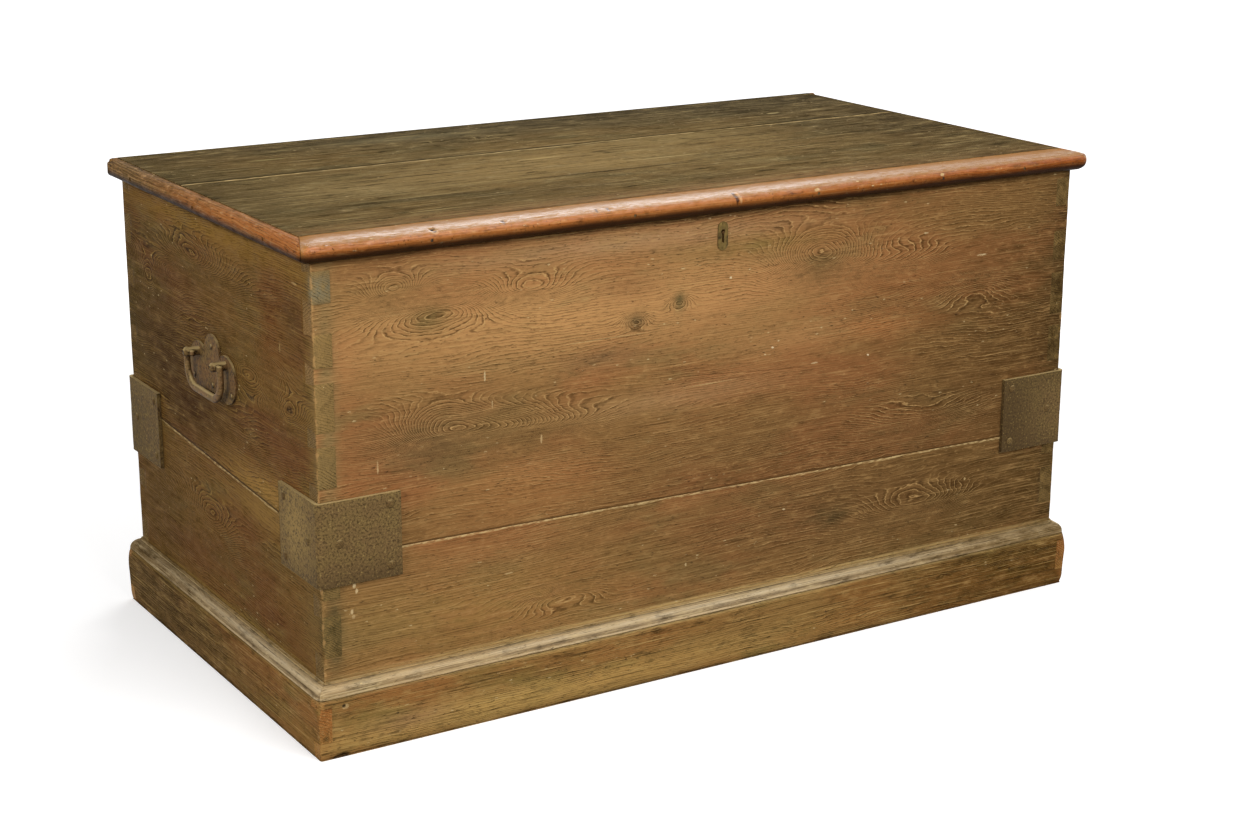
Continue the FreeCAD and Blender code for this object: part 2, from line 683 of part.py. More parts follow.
def plate_nails(face, side, across, along, low):
    """A wrought nail at each place: a low head on the iron and a shank in the wood."""
    nails = []
    for number, (start, way) in enumerate(plate_nail_places(across, along, low)):
        name = f"plate_nail_{face}_{side}_{number}"
        away = {"+": "-", "-": "+"}[way[0]] + way[1]
        head = cone(name + "_head", start, away, nail_head, nail_head * HALF, nail_head_thick)
        shank = rod(name + "_shank", start, way, nail_shank, plate_thick + nail_long)
        nails.append(joined(name, [head, shank]))
    return nails


def build_lid():
    """Two lid boards with a nosing planted on the front and the ends, mitred in front."""
    wide = half_width + lid_over
    front = half_depth + lid_over
    deep = carcase_depth + lid_over + lid_back
    slab = block("lid_slab", (-wide, -front, lid_low), (wide * 2, deep, lid_thick))
    DOC.recompute()
    turned = DOC.addObject("Part::Fillet", "lid_turned_corners")
    turned.Base = slab
    turned.Edges = [
        (number, lid_corner.value, lid_corner.value)
        for number, edge in enumerate(slab.Shape.Edges, 1)
        if edge.BoundBox.ZLength > lid_thick.value * HALF and edge.BoundBox.YMax < 0
    ]
    DOC.recompute()
    rounded = DOC.addObject("Part::Fillet", "lid_rounded")
    rounded.Base = turned
    rounded.Edges = [
        (number, lid_round.value, lid_round.value)
        for number, edge in enumerate(turned.Shape.Edges, 1)
        if edge.BoundBox.ZLength < overrun.value * HALF
        and edge.BoundBox.YMin < half_depth.value
    ]
    back = half_depth + lid_back
    turn = lid_back_corner
    plan = [
        (-wide - overrun, -front - overrun),
        (wide + overrun, -front - overrun),
        (wide + overrun, back - turn),
        (wide, back - turn),
        (wide - turn, back, turn, -1),
        (-wide + turn, back),
        (-wide, back - turn, turn, -1),
        (-wide - overrun, back - turn),
    ]
    lid = shared("lid_whole", rounded, place(
        prism("lid_plan", "XY_Plane", plan, lid_thick + overrun * 2), z=lid_low - overrun))
    edge_in = front - nosing_front
    out = wide + overrun * 2
    rear = back + overrun * 2
    fore = front + overrun * 2
    mitre_out = out - half_width
    joint_left = half_depth - lid_joint_left
    joint_right = half_depth - lid_joint_right
    plans = {
        "lid_board_front": [(-half_width, -edge_in), (half_width, -edge_in),
                            (half_width, joint_right), (-half_width, joint_left)],
        "lid_board_back": [(-half_width, joint_left), (half_width, joint_right),
                           (half_width, rear), (-half_width, rear)],
        "lid_nosing_front": [(-half_width, -edge_in), (-out, -edge_in - mitre_out * mitre_slope),
                             (-out, -fore), (out, -fore),
                             (out, -edge_in - mitre_out * mitre_slope), (half_width, -edge_in)],
        "lid_nosing_left": [(-half_width, -edge_in), (-half_width, rear), (-out, rear),
                            (-out, -edge_in - mitre_out * mitre_slope)],
        "lid_nosing_right": [(half_width, -edge_in), (half_width, rear), (out, rear),
                             (out, -edge_in - mitre_out * mitre_slope)],
    }
    hollows = joined("lid_hollows", lid_hollows())
    for label, outline in plans.items():
        cut = place(prism(label + "_plan", "XY_Plane", outline, lid_thick + overrun * 2),
                    z=lid_low - overrun)
        piece = shared(label + "_piece", lid, cut)
        if label not in ("lid_nosing_left", "lid_nosing_right"):
            piece = less(label + "_cut", piece, hollows)
        node(label, piece)
    build_battens()
    build_nosing_nails()


def lid_hollows():
    """Recesses in the lid's underside: the knuckles, the hinge straps and the hook plate."""
    hollows = []
    for name, middle in (("left", -hinge_place), ("right", hinge_place)):
        length = leaf_half() * 2 + knuckle_room * 2
        inside = hinge_behind - knuckle - knuckle_room
        hollows.append(block(
            f"lid_knuckle_hollow_{name}", (middle - length * HALF, half_depth + inside,
                                           lid_low - overrun),
            (length, lid_back - inside + overrun, knuckle + knuckle_room + overrun)))
        hollows.append(strap_shape(f"lid_strap_hollow_{name}", middle, lid_low - overrun,
                                   leaf_thick + overrun))
    hollows.append(block("lid_hook_hollow", (hook_left(), hook_front(), lid_low - overrun),
                         (hook_plate_long, hook_plate_wide, hook_plate_thick + overrun)))
    return hollows


def strap_shape(name, middle, low, thick):
    """The upper leaf's outline, tapering to a round tip; it starts clear of the knuckles."""
    start = half_depth + hinge_behind - knuckle - knuckle_room
    tip = half_depth + hinge_behind - strap_reach
    root = strap_root * HALF
    end = strap_tip * HALF
    outline = [
        (middle - root, start),
        (middle - end, tip),
        (middle, tip - end, end, -1),
        (middle + end, tip, end, -1),
        (middle + root, start),
    ]
    return place(prism(name, "XY_Plane", outline, thick), z=low)


def build_battens():
    """Two bevelled battens under the lid, clear of the carcase when the lid is shut."""
    half_long = half_depth - board - batten_gap
    half_wide = batten_width * HALF
    screws = []
    middle = half_width - board - batten_inset - half_wide
    for side, sign in (("left", -1), ("right", 1)):
        centre = middle * sign
        section = [
            (centre - half_wide, lid_low),
            (centre - half_wide, lid_low - batten_thick + batten_bevel),
            (centre - half_wide + batten_bevel, lid_low - batten_thick),
            (centre + half_wide - batten_bevel, lid_low - batten_thick),
            (centre + half_wide, lid_low - batten_thick + batten_bevel),
            (centre + half_wide, lid_low),
        ]
        bar = prism(f"batten_{side}_bar", "XZ_Plane", section, half_long * 2, centred=True)
        row = []
        for number, share in enumerate(BATTEN_SCREW_SHARES):
            start = (centre, half_long * share, lid_low - batten_thick)
            row.append(screw(f"batten_screw_{side}_{number}", start, "+z", batten_screw_long))
        screws += row
        node(f"lid_batten_{side}", less(f"batten_{side}", bar, group(f"batten_row_{side}", row)))
    node("batten_screws", group("batten_screw_group", screws))


def build_nosing_nails():
    """Brads through the nosings into the lid boards, flush with the rounded edge."""
    nails = []
    up = lid_low + lid_thick * HALF
    for column, share in enumerate(NOSING_NAIL_SHARES):
        start = ((half_width - brad_spacing) * share, -half_depth - lid_over, up)
        nails.append(rod(f"nosing_brad_front_{column}", start, "+y", brad,
                         brad_long + nosing_front - lid_over))
    for row, share in enumerate(SHORT_NAIL_SHARES):
        along = (half_depth - brad_spacing) * share
        nails.append(rod(f"nosing_brad_left_{row}", (-half_width - lid_over, along, up), "+x",
                         brad, brad_long))
        nails.append(rod(f"nosing_brad_right_{row}", (half_width + lid_over, along, up), "-x",
                         brad, brad_long))
    node("nosing_nails", group("nosing_nail_group", nails))


def screw(name, start, way, length):
    """A countersunk screw whose head is flush with the face that it starts from."""
    head = cone(name + "_head", start, way, screw_head, screw_shank, screw_head_thick)
    shank = rod(name + "_shank", start, way, screw_shank, length)
    return joined(name, [head, shank])


def hinge_recess():
    """Hollows in the back board's top edge for the knuckles and the lower leaves."""
    hollows = []
    for name, middle in (("left", -hinge_place), ("right", hinge_place)):
        length = leaf_half() * 2 + knuckle_room * 2
        inside = hinge_behind - knuckle - knuckle_room
        hollows.append(block(
            f"knuckle_hollow_{name}", (middle - length * HALF, half_depth + inside,
                                       carcase_top - knuckle - knuckle_room),
            (length, overrun - inside, knuckle + knuckle_room + overrun)))
        hollows.append(block(
            f"leaf_hollow_{name}", (middle - leaf_half(), half_depth - board - overrun,
                                    carcase_top - leaf_thick),
            (leaf_half() * 2, board + overrun + inside, leaf_thick + overrun)))
    return joined("back_hollows", hollows)


def leaf_half():
    """Half the width of a lower leaf, which is as wide as its three knuckles."""
    return (knuckle_long * KNUCKLES + knuckle_gap * (KNUCKLES - 1)) * HALF


def build_hinges():
    """Two hinges: a cranked lower leaf, a long upper leaf under the lid, and a loose pin."""
    axis_y = half_depth + hinge_behind
    axis_z = carcase_top + lid_gap * HALF
    leaf_screws = []
    strap_screws = []
    for side, middle in (("left", -hinge_place), ("right", hinge_place)):
        wide = leaf_half()
        pitch = knuckle_long + knuckle_gap
        bore = rod(f"hinge_{side}_bore", (middle - wide - overrun, axis_y, axis_z), "+x",
                   hinge_pin + hinge_play, wide * 2 + overrun * 2)
        neck_start = half_depth + hinge_behind - knuckle - knuckle_room
        neck = axis_y - neck_start
        lower = [
            block(f"leaf_{side}_top", (middle - wide, half_depth - board - leaf_thick,
                                       carcase_top - leaf_thick),
                  (wide * 2, board + leaf_thick - half_depth + neck_start, leaf_thick)),
            block(f"leaf_{side}_drop", (middle - wide, half_depth - board - leaf_thick,
                                        carcase_top - leaf_drop),
                  (wide * 2, leaf_thick, leaf_drop)),
        ]
        for number, sign in enumerate((-1, 1)):
            start = middle + pitch * sign - knuckle_long * HALF
            lower.append(rod(f"leaf_{side}_knuckle_{number}", (start, axis_y, axis_z), "+x",
                             knuckle, knuckle_long))
            lower.append(block(f"leaf_{side}_neck_{number}",
                               (start, neck_start, carcase_top - leaf_thick),
                               (knuckle_long, neck, leaf_thick)))
        upper = [
            strap_shape(f"strap_{side}_flat", middle, lid_low, leaf_thick),
            rod(f"strap_{side}_knuckle", (middle - knuckle_long * HALF, axis_y, axis_z), "+x",
                knuckle, knuckle_long),
            block(f"strap_{side}_neck", (middle - knuckle_long * HALF, neck_start, lid_low),
                  (knuckle_long, neck, leaf_thick)),
        ]
        row = []
        for number, (across, down) in enumerate(LEAF_SCREW_SHARES):
            start = (middle + wide * across, half_depth - board - leaf_thick,
                     carcase_top - leaf_drop * down)
            row.append(screw(f"leaf_screw_{side}_{number}", start, "+y", screw_long))
        leaf_screws += row
        drilled = group(f"leaf_{side}_row", row + [bore])
        node(f"hinge_leaf_{side}", less(f"leaf_{side}", joined(f"leaf_{side}_blank", lower),
                                        drilled))
        row = []
        for number, share in enumerate(STRAP_SCREW_SHARES):
            start = (middle, neck_start - (strap_reach - neck) * share, lid_low)
            row.append(screw(f"strap_screw_{side}_{number}", start, "+z", screw_long))
        strap_screws += row
        drilled = group(f"strap_{side}_row", row + [bore])
        node(f"hinge_strap_{side}", less(f"strap_{side}", joined(f"strap_{side}_blank", upper),
                                         drilled))
        node(f"hinge_pin_{side}", rod(f"pin_{side}", (middle - wide, axis_y, axis_z), "+x",
                                      hinge_pin, wide * 2))
    node("hinge_leaf_screws", group("leaf_screw_group", leaf_screws))
    node("hinge_strap_screws", group("strap_screw_group", strap_screws))


def lock_left():
    """The left side of the lock case."""
    return -lock_place - lock_wide * HALF


def lock_front():
    """The face of the lock case that lies against the wood."""
    return board - lock_deep - half_depth


def hook_left():
    """The left end of the hook plate."""
    return staple_shift - lock_place - hook_plate_long * HALF


def hook_front():
    """The front edge of the hook plate."""
    return staple_line() - hook_plate_wide * HALF


def staple_line():
    """The line of the staples and the bolt, from the front to the back."""
    return lock_front() + lock_deep * HALF + lock_play


def keyhole(name, start, depth):
    """The keyhole as a solid to cut with: a round end over a slot."""
    middle = -lock_place
    height = carcase_top - key_drop
    round_end = rod(f"{name}_round", (middle, start, height), "+y", key_head, depth)
    slot = block(f"{name}_slot", (middle - key_slot * HALF, start, height - key_long),
                 (key_slot, depth, key_long))
    return joined(name, [round_end, slot])


def lock_recess():
    """What the lock and the keyhole take out of the front's upper board."""
    body = block("lock_body_hollow", (lock_left(), lock_front(), carcase_top - lock_high),
                 (lock_wide, lock_deep + overrun, lock_high + overrun))
    return joined("front_hollows", [body, keyhole("front_keyhole", -half_depth - overrun,
                                                  board + overrun)])


def staple_places():
    """The middles of the two staples along the front."""
    middle = staple_shift - lock_place
    return (middle - staple_apart * HALF, middle + staple_apart * HALF)


def build_lock():
    """A chest lock let into the front: case, cap, ward, key pin, spring and sliding bolt."""
    low = carcase_top - lock_high
    left = lock_left()
    front = lock_front()
    line = staple_line()
    shell = block("lock_shell", (left, front, low), (lock_wide, lock_deep - lock_wall, lock_high))
    hollow = block("lock_hollow", (left + lock_wall, front + lock_wall, low + lock_wall),
                   (lock_wide - lock_wall * 2, lock_deep, lock_high - lock_wall - lock_top))
    slots = [
        block(f"lock_slot_{number}", (across - staple_thick * HALF - lock_play,
                                      line - staple_wide * HALF - lock_play,
                                      carcase_top - lock_top - overrun),
              (staple_thick + lock_play * 2, staple_wide + lock_play * 2,
               lock_top + overrun * 2))
        for number, across in enumerate(staple_places())
    ]
    cutters = [hollow, keyhole("lock_keyhole", front - overrun, lock_wall + overrun * 2)]
    node("lock_case", less("lock_case_cut", shell, joined("lock_case_hollows",
                                                          cutters + slots)))
    cap = block("lock_cap_plate", (left, front + lock_deep - lock_wall, low),
                (lock_wide, lock_wall, lock_high))
    cap_row = []
    for column, across in enumerate(RIVET_ACROSS_SHARES):
        for row, up in enumerate(RIVET_UP_SHARES):
            start = (lock_wide * across - lock_place, front + lock_deep, low + lock_high * up)
            cap_row.append(rod(f"lock_rivet_{column}_{row}", start, "-y", lock_rivet, lock_wall))
    node("lock_cap", less("lock_cap_cut", cap, group("lock_rivet_holes", cap_row)))
    node("lock_rivets", group("lock_rivet_group", cap_row))
    height = carcase_top - key_drop
    node("lock_key_pin", rod("key_pin_rod", (-lock_place, front + lock_wall, height), "+y",
                             key_pin, lock_deep - lock_wall * 2))
    ring = rod("ward_ring", (-lock_place, front + lock_wall, height), "+y", ward_out, ward_high)
    bore = rod("ward_bore", (-lock_place, front, height), "+y", ward_out - ward_thick,
               lock_deep)
    mouth = block("ward_mouth", (-lock_place - key_slot * HALF - lock_play, front,
                                 height - ward_out - overrun),
                  (key_slot + lock_play * 2, lock_deep, ward_out + overrun))
    node("lock_ward", less("ward_cut", ring, joined("ward_hollow", [bore, mouth])))
    build_bolt(line)
    build_spring(line)


def bolt_low():
    """The underside of the bolt's bar: just under the staples."""
    return carcase_top - staple_deep - lock_play * 2 - bolt_bar


def build_bolt(line):
    """The bolt: a bar under the staples with two posts whose arms slide into the eyes."""
    back = line - bolt_thick * HALF
    low = bolt_low()
    arm_low = eye_middle() - bolt_arm * HALF
    pieces = []
    starts = []
    for number, across in enumerate(staple_places()):
        tip = across - staple_thick * HALF - lock_play * 2
        start = tip - bolt_arm_long
        starts.append(start - bolt_post)
        pieces.append(block(f"bolt_arm_{number}", (start, back, arm_low),
                            (bolt_arm_long, bolt_thick, bolt_arm)))
        pieces.append(block(f"bolt_post_{number}", (start - bolt_post, back, low),
                            (bolt_post, bolt_thick, arm_low + bolt_arm - low)))
    pieces.append(block("bolt_bar", (starts[0], back, low),
                        (starts[1] - starts[0] + bolt_post, bolt_thick, bolt_bar)))
    notch = rod("bolt_key_notch", (-lock_place - bolt_travel * HALF, back - overrun, low), "+y",
                bolt_notch, bolt_thick + overrun * 2)
    node("lock_bolt", less("bolt_cut", joined("bolt_blank", pieces), notch))


def eye_middle():
    """The height of the middle of a staple's eye."""
    return carcase_top - staple_deep + staple_wall + lock_play + bolt_arm * HALF


def build_spring(line):
    """A bent leaf under the lock's top plate, whose foot keeps the bolt from rattling."""
    foot = bolt_low() + bolt_bar + spring_gap
    top = carcase_top - lock_top
    left = -lock_place - spring_left
    step = spring_long * SPRING_STEP_SHARE
    outline = [
        (left, top),
        (left, foot + spring_thick),
        (left + step, foot),
        (left + spring_long, foot),
        (left + spring_long, foot + spring_thick),
        (left + step + spring_thick * HALF, foot + spring_thick),
        (left + spring_thick, foot + spring_thick * SPRING_BEND_SHARE),
        (left + spring_thick, top),
    ]
    leaf = prism("spring_leaf", "XZ_Plane", outline, bolt_thick, centred=True)
    node("lock_spring", place(leaf, y=line))


def build_hook_plate():
    """The plate in the lid's underside, with two staples that enter the lock."""
    plate = block("hook_plate_flat", (hook_left(), hook_front(), lid_low),
                  (hook_plate_long, hook_plate_wide, hook_plate_thick))
    line = staple_line()
    pieces = [plate]
    eyes = []
    eye_high = bolt_arm + lock_play * 2
    for number, across in enumerate(staple_places()):
        low = carcase_top - staple_deep
        pieces.append(block(f"staple_{number}", (across - staple_thick * HALF,
                                                 line - staple_wide * HALF, low),
                            (staple_thick, staple_wide, lid_low - low)))
        eyes.append(block(f"staple_eye_{number}", (across - staple_thick,
                                                   line - staple_wide * HALF + staple_wall,
                                                   low + staple_wall),
                          (staple_thick * 2, staple_wide - staple_wall * 2, eye_high)))
    row = []
    for number, share in enumerate(HOOK_SCREW_SHARES):
        start = (staple_shift - lock_place + hook_plate_long * share, line, lid_low)
        row.append(screw(f"hook_screw_{number}", start, "+z", screw_long))
    node("hook_plate", less("hook_plate_cut", joined("hook_plate_blank", pieces),
                            group("hook_plate_holes", eyes + row)))
    node("hook_plate_screws", group("hook_screw_group", row))


def build_escutcheon():
    """The keyhole plate: a pointed oval with the keyhole through it, and its two pins."""
    middle = -lock_place
    height = carcase_top - key_drop - key_long * HALF + key_head * HALF
    half_wide = shield_wide * HALF
    half_high = shield_high * HALF
    swell = half_high - half_wide
    outline = [
        (middle - half_wide, height + swell),
        (middle - half_wide, height - swell),
        (middle, height - half_high, half_wide, -1),
        (middle + half_wide, height - swell, half_wide, -1),
        (middle + half_wide, height + swell),
        (middle, height + half_high, half_wide, -1),
    ]
    outline[0] = (*outline[0], half_wide, -1)
    plate = place(prism("shield_plate", "XZ_Plane", outline, shield_thick), y=-half_depth)
    pins = []
    for number, sign in enumerate((-1, 1)):
        start = (middle, -half_depth - shield_thick - shield_pin_proud,
                 height + (half_high - shield_pin_inset) * sign)
        pins.append(rod(f"shield_pin_{number}", start, "+y", shield_pin,
                        shield_pin_long + shield_thick))
    holes = joined("shield_holes", pins + [keyhole("shield_keyhole", -half_depth - overrun,
                                                   overrun * 2)])
    node("keyhole_escutcheon", less("shield", plate, holes))
    node("escutcheon_pins", group("shield_pin_group", pins))


def build_handles():
    """A lobed plate with two lugs on each end, a hanging bail, and the plate's screws."""
    screws = []
    for side, sign, way in (("left", -1, "-x"), ("right", 1, "+x")):
        face = half_width * sign
        axis_x = (half_width + handle_out) * sign
        lobe_z = handle_axis - handle_side_drop
        inner_way = "+x" if sign < 0 else "-x"
        pieces = []
        for number, hand in enumerate((-1, 1)):
            across = handle_lug_place * hand
            pieces.append(rod(f"handle_{side}_lobe_{number}", (face, across, lobe_z), way,
                              handle_side_lobe, handle_plate_thick))
            stem = handle_lug_reach - handle_lug_round
            pieces.append(rod(f"handle_{side}_lug_{number}", (face, across, handle_axis), way,
                              handle_lug, stem))
            tip = (half_width + stem) * sign
            pieces.append(cone(f"handle_{side}_tip_{number}", (tip, across, handle_axis), way,
                               handle_lug, handle_lug - handle_lug_round, handle_lug_round))
        pieces.append(rod(f"handle_{side}_top", (face, ZERO, handle_axis + handle_top_rise), way,
                          handle_top_lobe, handle_plate_thick))
        low = lobe_z - handle_waist
        start = face if sign > 0 else face - handle_plate_thick
        pieces.append(block(f"handle_{side}_middle", (start, -handle_lug_place, low),
                            (handle_plate_thick, handle_lug_place * 2,
                             handle_axis + handle_top_rise - low)))
        row = []
        outside = (half_width + handle_plate_thick) * sign
        spots = [(handle_lug_place * hand + handle_screw_place * hand, lobe_z - handle_screw_place)
                 for hand in (-1, 1)]
        spots += [(ZERO, handle_axis + handle_top_rise + handle_screw_place * HALF),
                  (ZERO, low + handle_screw_place * HALF)]
        for number, (across, up) in enumerate(spots):
            row.append(screw(f"handle_screw_{side}_{number}", (outside, across, up), inner_way,
                             screw_long))
        screws += row
        bores = [
            rod(f"handle_{side}_bore", (axis_x, -bail_half, handle_axis), "+y",
                bail_pivot + bail_play, bail_half * 2)
        ]
        node(f"handle_plate_{side}", less(f"handle_{side}", joined(
            f"handle_{side}_blank", pieces), group(f"handle_{side}_row", row + bores)))
        node(f"handle_bail_{side}", build_bail(side, axis_x))
    node("handle_screws", group("handle_screw_group", screws))


def build_bail(side, axis_x):
    """A round bar bent to a wide U, with pivots turned inwards through the lugs."""
    body = DOC.addObject("PartDesign::Body", f"bail_{side}_bar")
    flats = {flat.Role: flat for flat in body.Origin.OriginFeatures if flat.Role}
    spine = body.newObject("Sketcher::SketchObject", f"bail_{side}_spine")
    spine.AttachmentSupport = [(flats["YZ_Plane"], "")]
    spine.MapMode = "FlatFace"
    shoulder = bail_bend - bail_drop
    inner = bail_half - bail_bend
    draw_path(spine, [
        (-bail_half, ZERO),
        (-bail_half, shoulder),
        (-inner, -bail_drop, bail_bend, -1),
        (inner, -bail_drop),
        (bail_half, shoulder, bail_bend, -1),
        (bail_half, ZERO),
    ])
    ring = body.newObject("Sketcher::SketchObject", f"bail_{side}_ring")
    ring.AttachmentSupport = [(flats["XY_Plane"], "")]
    ring.MapMode = "FlatFace"
    centre = FreeCAD.Vector(0, -bail_half.value, 0)
    ring.addGeometry(Part.Circle(centre, FreeCAD.Vector(0, 0, 1), bail_bar.value))
    hold(ring, "DistanceX", 0, 3, ZERO)
    hold(ring, "DistanceY", 0, 3, -bail_half)
    number = ring.addConstraint(Sketcher.Constraint("Radius", 0, bail_bar.value))
    ring.setExpression(f"Constraints[{number}]", bail_bar.text)
    pipe = body.newObject("PartDesign::AdditivePipe", f"bail_{side}_pipe")
    pipe.Profile = ring
    pipe.Spine = (spine, [])
    body.Tip = pipe
    place(body, x=axis_x, z=handle_axis)
    pieces = [body]
    inside = handle_lug_place - handle_lug - bail_pivot_end
    for number, hand in enumerate((-1, 1)):
        start = (axis_x, inside * hand, handle_axis)
        pieces.append(rod(f"bail_{side}_pivot_{number}", start, "+y" if hand > 0 else "-y",
                          bail_pivot, bail_half - inside))
        ball = bind(DOC.addObject("Part::Sphere", f"bail_{side}_end_{number}"),
                    {"Radius": bail_bar})
        pieces.append(place(ball, axis_x, bail_half * hand, handle_axis))
    return joined(f"bail_{side}", pieces)


# Each set of nails or screws, with the pieces of wood that it is driven into
DRIVEN = {
    "bottom_nails": ("bottom_board_1", "bottom_board_2", "bottom_board_3", "bottom_board_4",
                     "left_end_lower", "right_end_lower"),
    "plinth_nails": ("plinth_front", "plinth_back", "plinth_left", "plinth_right",
                     "front_board_lower", "back_board_lower", "left_end_lower",
                     "right_end_lower"),
    "corner_plate_nails": ("front_board_lower", "front_board_upper", "back_board_lower",
                           "back_board_upper", "left_end_lower", "left_end_upper",
                           "right_end_lower", "right_end_upper"),
    "handle_screws": ("left_end_upper", "left_end_lower", "right_end_upper",
                      "right_end_lower"),
    "escutcheon_pins": ("front_board_upper",),
    "hinge_leaf_screws": ("back_board_upper", "back_board_lower"),
    "nosing_nails": ("lid_nosing_front", "lid_nosing_left", "lid_nosing_right",
                     "lid_board_front", "lid_board_back"),
    "batten_screws": ("lid_board_front", "lid_board_back"),
    "hinge_strap_screws": ("lid_board_front", "lid_board_back"),
    "hook_plate_screws": ("lid_nosing_front", "lid_board_front"),
}


def drive_fasteners():
    """Gives every nail and screw its own hole in each piece that it is driven into."""
    holders = {}
    for fasteners, boards in DRIVEN.items():
        for label in boards:
            holders.setdefault(label, []).append(NODES[fasteners])
    for label, tools in holders.items():
        whole = NODES[label]
        whole.Label = f"{label}_before_nailing"
        tool = tools[0] if len(tools) == 1 else group(f"{label}_fasteners", tools)
        node(label, less(f"{label}_nailed", whole, tool))


def check_and_write():
    """Checks every object of the document, then writes each piece to its own file."""
    DOC.recompute()
    for thing in DOC.Objects:
        if "Invalid" in thing.State or "Error" in thing.State:
            raise RuntimeError(f"{thing.Label} failed: {thing.State}")
    for label, thing in NODES.items():
        shape = thing.Shape
        if shape.isNull() or not shape.isValid() or not shape.Solids:
            raise RuntimeError(f"{label} has no valid solid")
    os.makedirs("parts", exist_ok=True)
    for label, thing in NODES.items():
        thing.Shape.exportStep(f"parts/{label}.step")
        print(label, len(thing.Shape.Solids), round(thing.Shape.Volume))
    print(len(NODES), "pieces")


def main():
    build_carcase_sides()
    build_bottom()
    build_plinth()
    build_moulding()
    build_corner_plates()
    build_lid()
    build_hinges()
    build_lock()
    build_hook_plate()
    build_escutcheon()
    build_handles()
    drive_fasteners()
    check_and_write()


main()
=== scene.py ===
"""Dresses a lidded chest of old pine: worn boards, rusted iron, a brass keyhole plate."""

import json
import math

import bmesh
import bpy
from mathutils import Matrix, Vector, noise

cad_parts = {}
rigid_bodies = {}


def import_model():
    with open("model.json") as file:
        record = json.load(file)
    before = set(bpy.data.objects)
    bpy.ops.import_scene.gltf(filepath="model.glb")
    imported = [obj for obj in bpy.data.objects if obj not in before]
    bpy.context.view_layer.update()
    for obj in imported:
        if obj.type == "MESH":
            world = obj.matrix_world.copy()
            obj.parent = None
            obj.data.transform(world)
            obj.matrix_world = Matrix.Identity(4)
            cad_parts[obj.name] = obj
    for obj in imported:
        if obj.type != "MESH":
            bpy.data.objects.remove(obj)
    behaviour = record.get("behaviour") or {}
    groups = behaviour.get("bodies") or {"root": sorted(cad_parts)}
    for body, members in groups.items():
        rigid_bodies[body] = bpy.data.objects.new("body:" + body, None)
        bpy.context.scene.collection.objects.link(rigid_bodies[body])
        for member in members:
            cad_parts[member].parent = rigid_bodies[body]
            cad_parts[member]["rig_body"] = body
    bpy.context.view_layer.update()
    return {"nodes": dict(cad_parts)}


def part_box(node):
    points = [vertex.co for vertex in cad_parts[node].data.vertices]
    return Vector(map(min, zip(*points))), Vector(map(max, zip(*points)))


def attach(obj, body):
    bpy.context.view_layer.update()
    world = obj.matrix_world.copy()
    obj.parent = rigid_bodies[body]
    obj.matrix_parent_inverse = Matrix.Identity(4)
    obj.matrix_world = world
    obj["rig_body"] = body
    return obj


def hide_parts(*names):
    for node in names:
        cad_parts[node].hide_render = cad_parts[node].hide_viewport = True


bl_info = {
    "name": "Lidded pine chest",
    "version": (1, 0, 0),
    "blender": (4, 5, 0),
    "location": "View3D > Sidebar > Chest",
    "description": "Builds the looks of an old dovetailed pine chest around its CAD frame",
    "category": "Add Mesh",
}

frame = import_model()
NODES = frame["nodes"]

MM = 0.001

# The photograph's camera: its width and focal length in pixels, its place in metres, and its
# angles to the right of the chest's front, downwards and about its own axis
PHOTO_WIDE = 1250
PHOTO_FOCAL = 2297.23
CAMERA_PLACE = (-1.6609, -2.7217, 1.2154)
CAMERA_ANGLES = (0.5582, 0.2888, 0.0045)

# The user's sizes and colours, which main() reads from the scene
WEAR = None
LOOKS = None

# Outer faces of the carcase, from the CAD boards themselves
CARCASE_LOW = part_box("front_board_lower")[0]
HALF_WIDE = -CARCASE_LOW.x
HALF_DEEP = -CARCASE_LOW.y
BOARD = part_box("left_end_upper")[1].x + HALF_WIDE
LID_LOW, LID_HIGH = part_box("lid_nosing_front")
PLINTH_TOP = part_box("plinth_front")[1].z


def linear(code):
    """An sRGB hex colour as linear red, green and blue."""
    parts = [int(code[at:at + 2], 16) / 255 for at in (1, 3, 5)]
    return tuple(part / 12.92 if part <= 0.04045 else ((part + 0.055) / 1.055) ** 2.4
                 for part in parts)


def rgba(colour):
    """A hex code or a colour property as the four numbers that a socket takes."""
    if isinstance(colour, str):
        colour = linear(colour)
    return (*colour[:3], 1.0)


def swatch(name, code, words):
    """A colour that the user may change."""
    return bpy.props.FloatVectorProperty(name=name, description=words, subtype="COLOR", size=3,
                                         min=0.0, max=1.0, default=linear(code))


def length(name, value, words):
    """A length, in metres, that the user may change."""
    return bpy.props.FloatProperty(name=name, description=words, subtype="DISTANCE",
                                   unit="LENGTH", min=0.0, default=value)


class ChestWear(bpy.types.PropertyGroup):
    """How worn the chest is."""

    arris: length("Arris wear", 0.0034, "How far the carcase's upright corners are worn round")
    undulation: length("Undulation", 0.0004, "Hollows that planing and use have left")
    joint_edge: length("Joint edge", 0.0005, "Worn edge of every board along its joints")
    nail_sink: length("Nail sink", 0.0012, "How deep the brads have sunk below the wood")


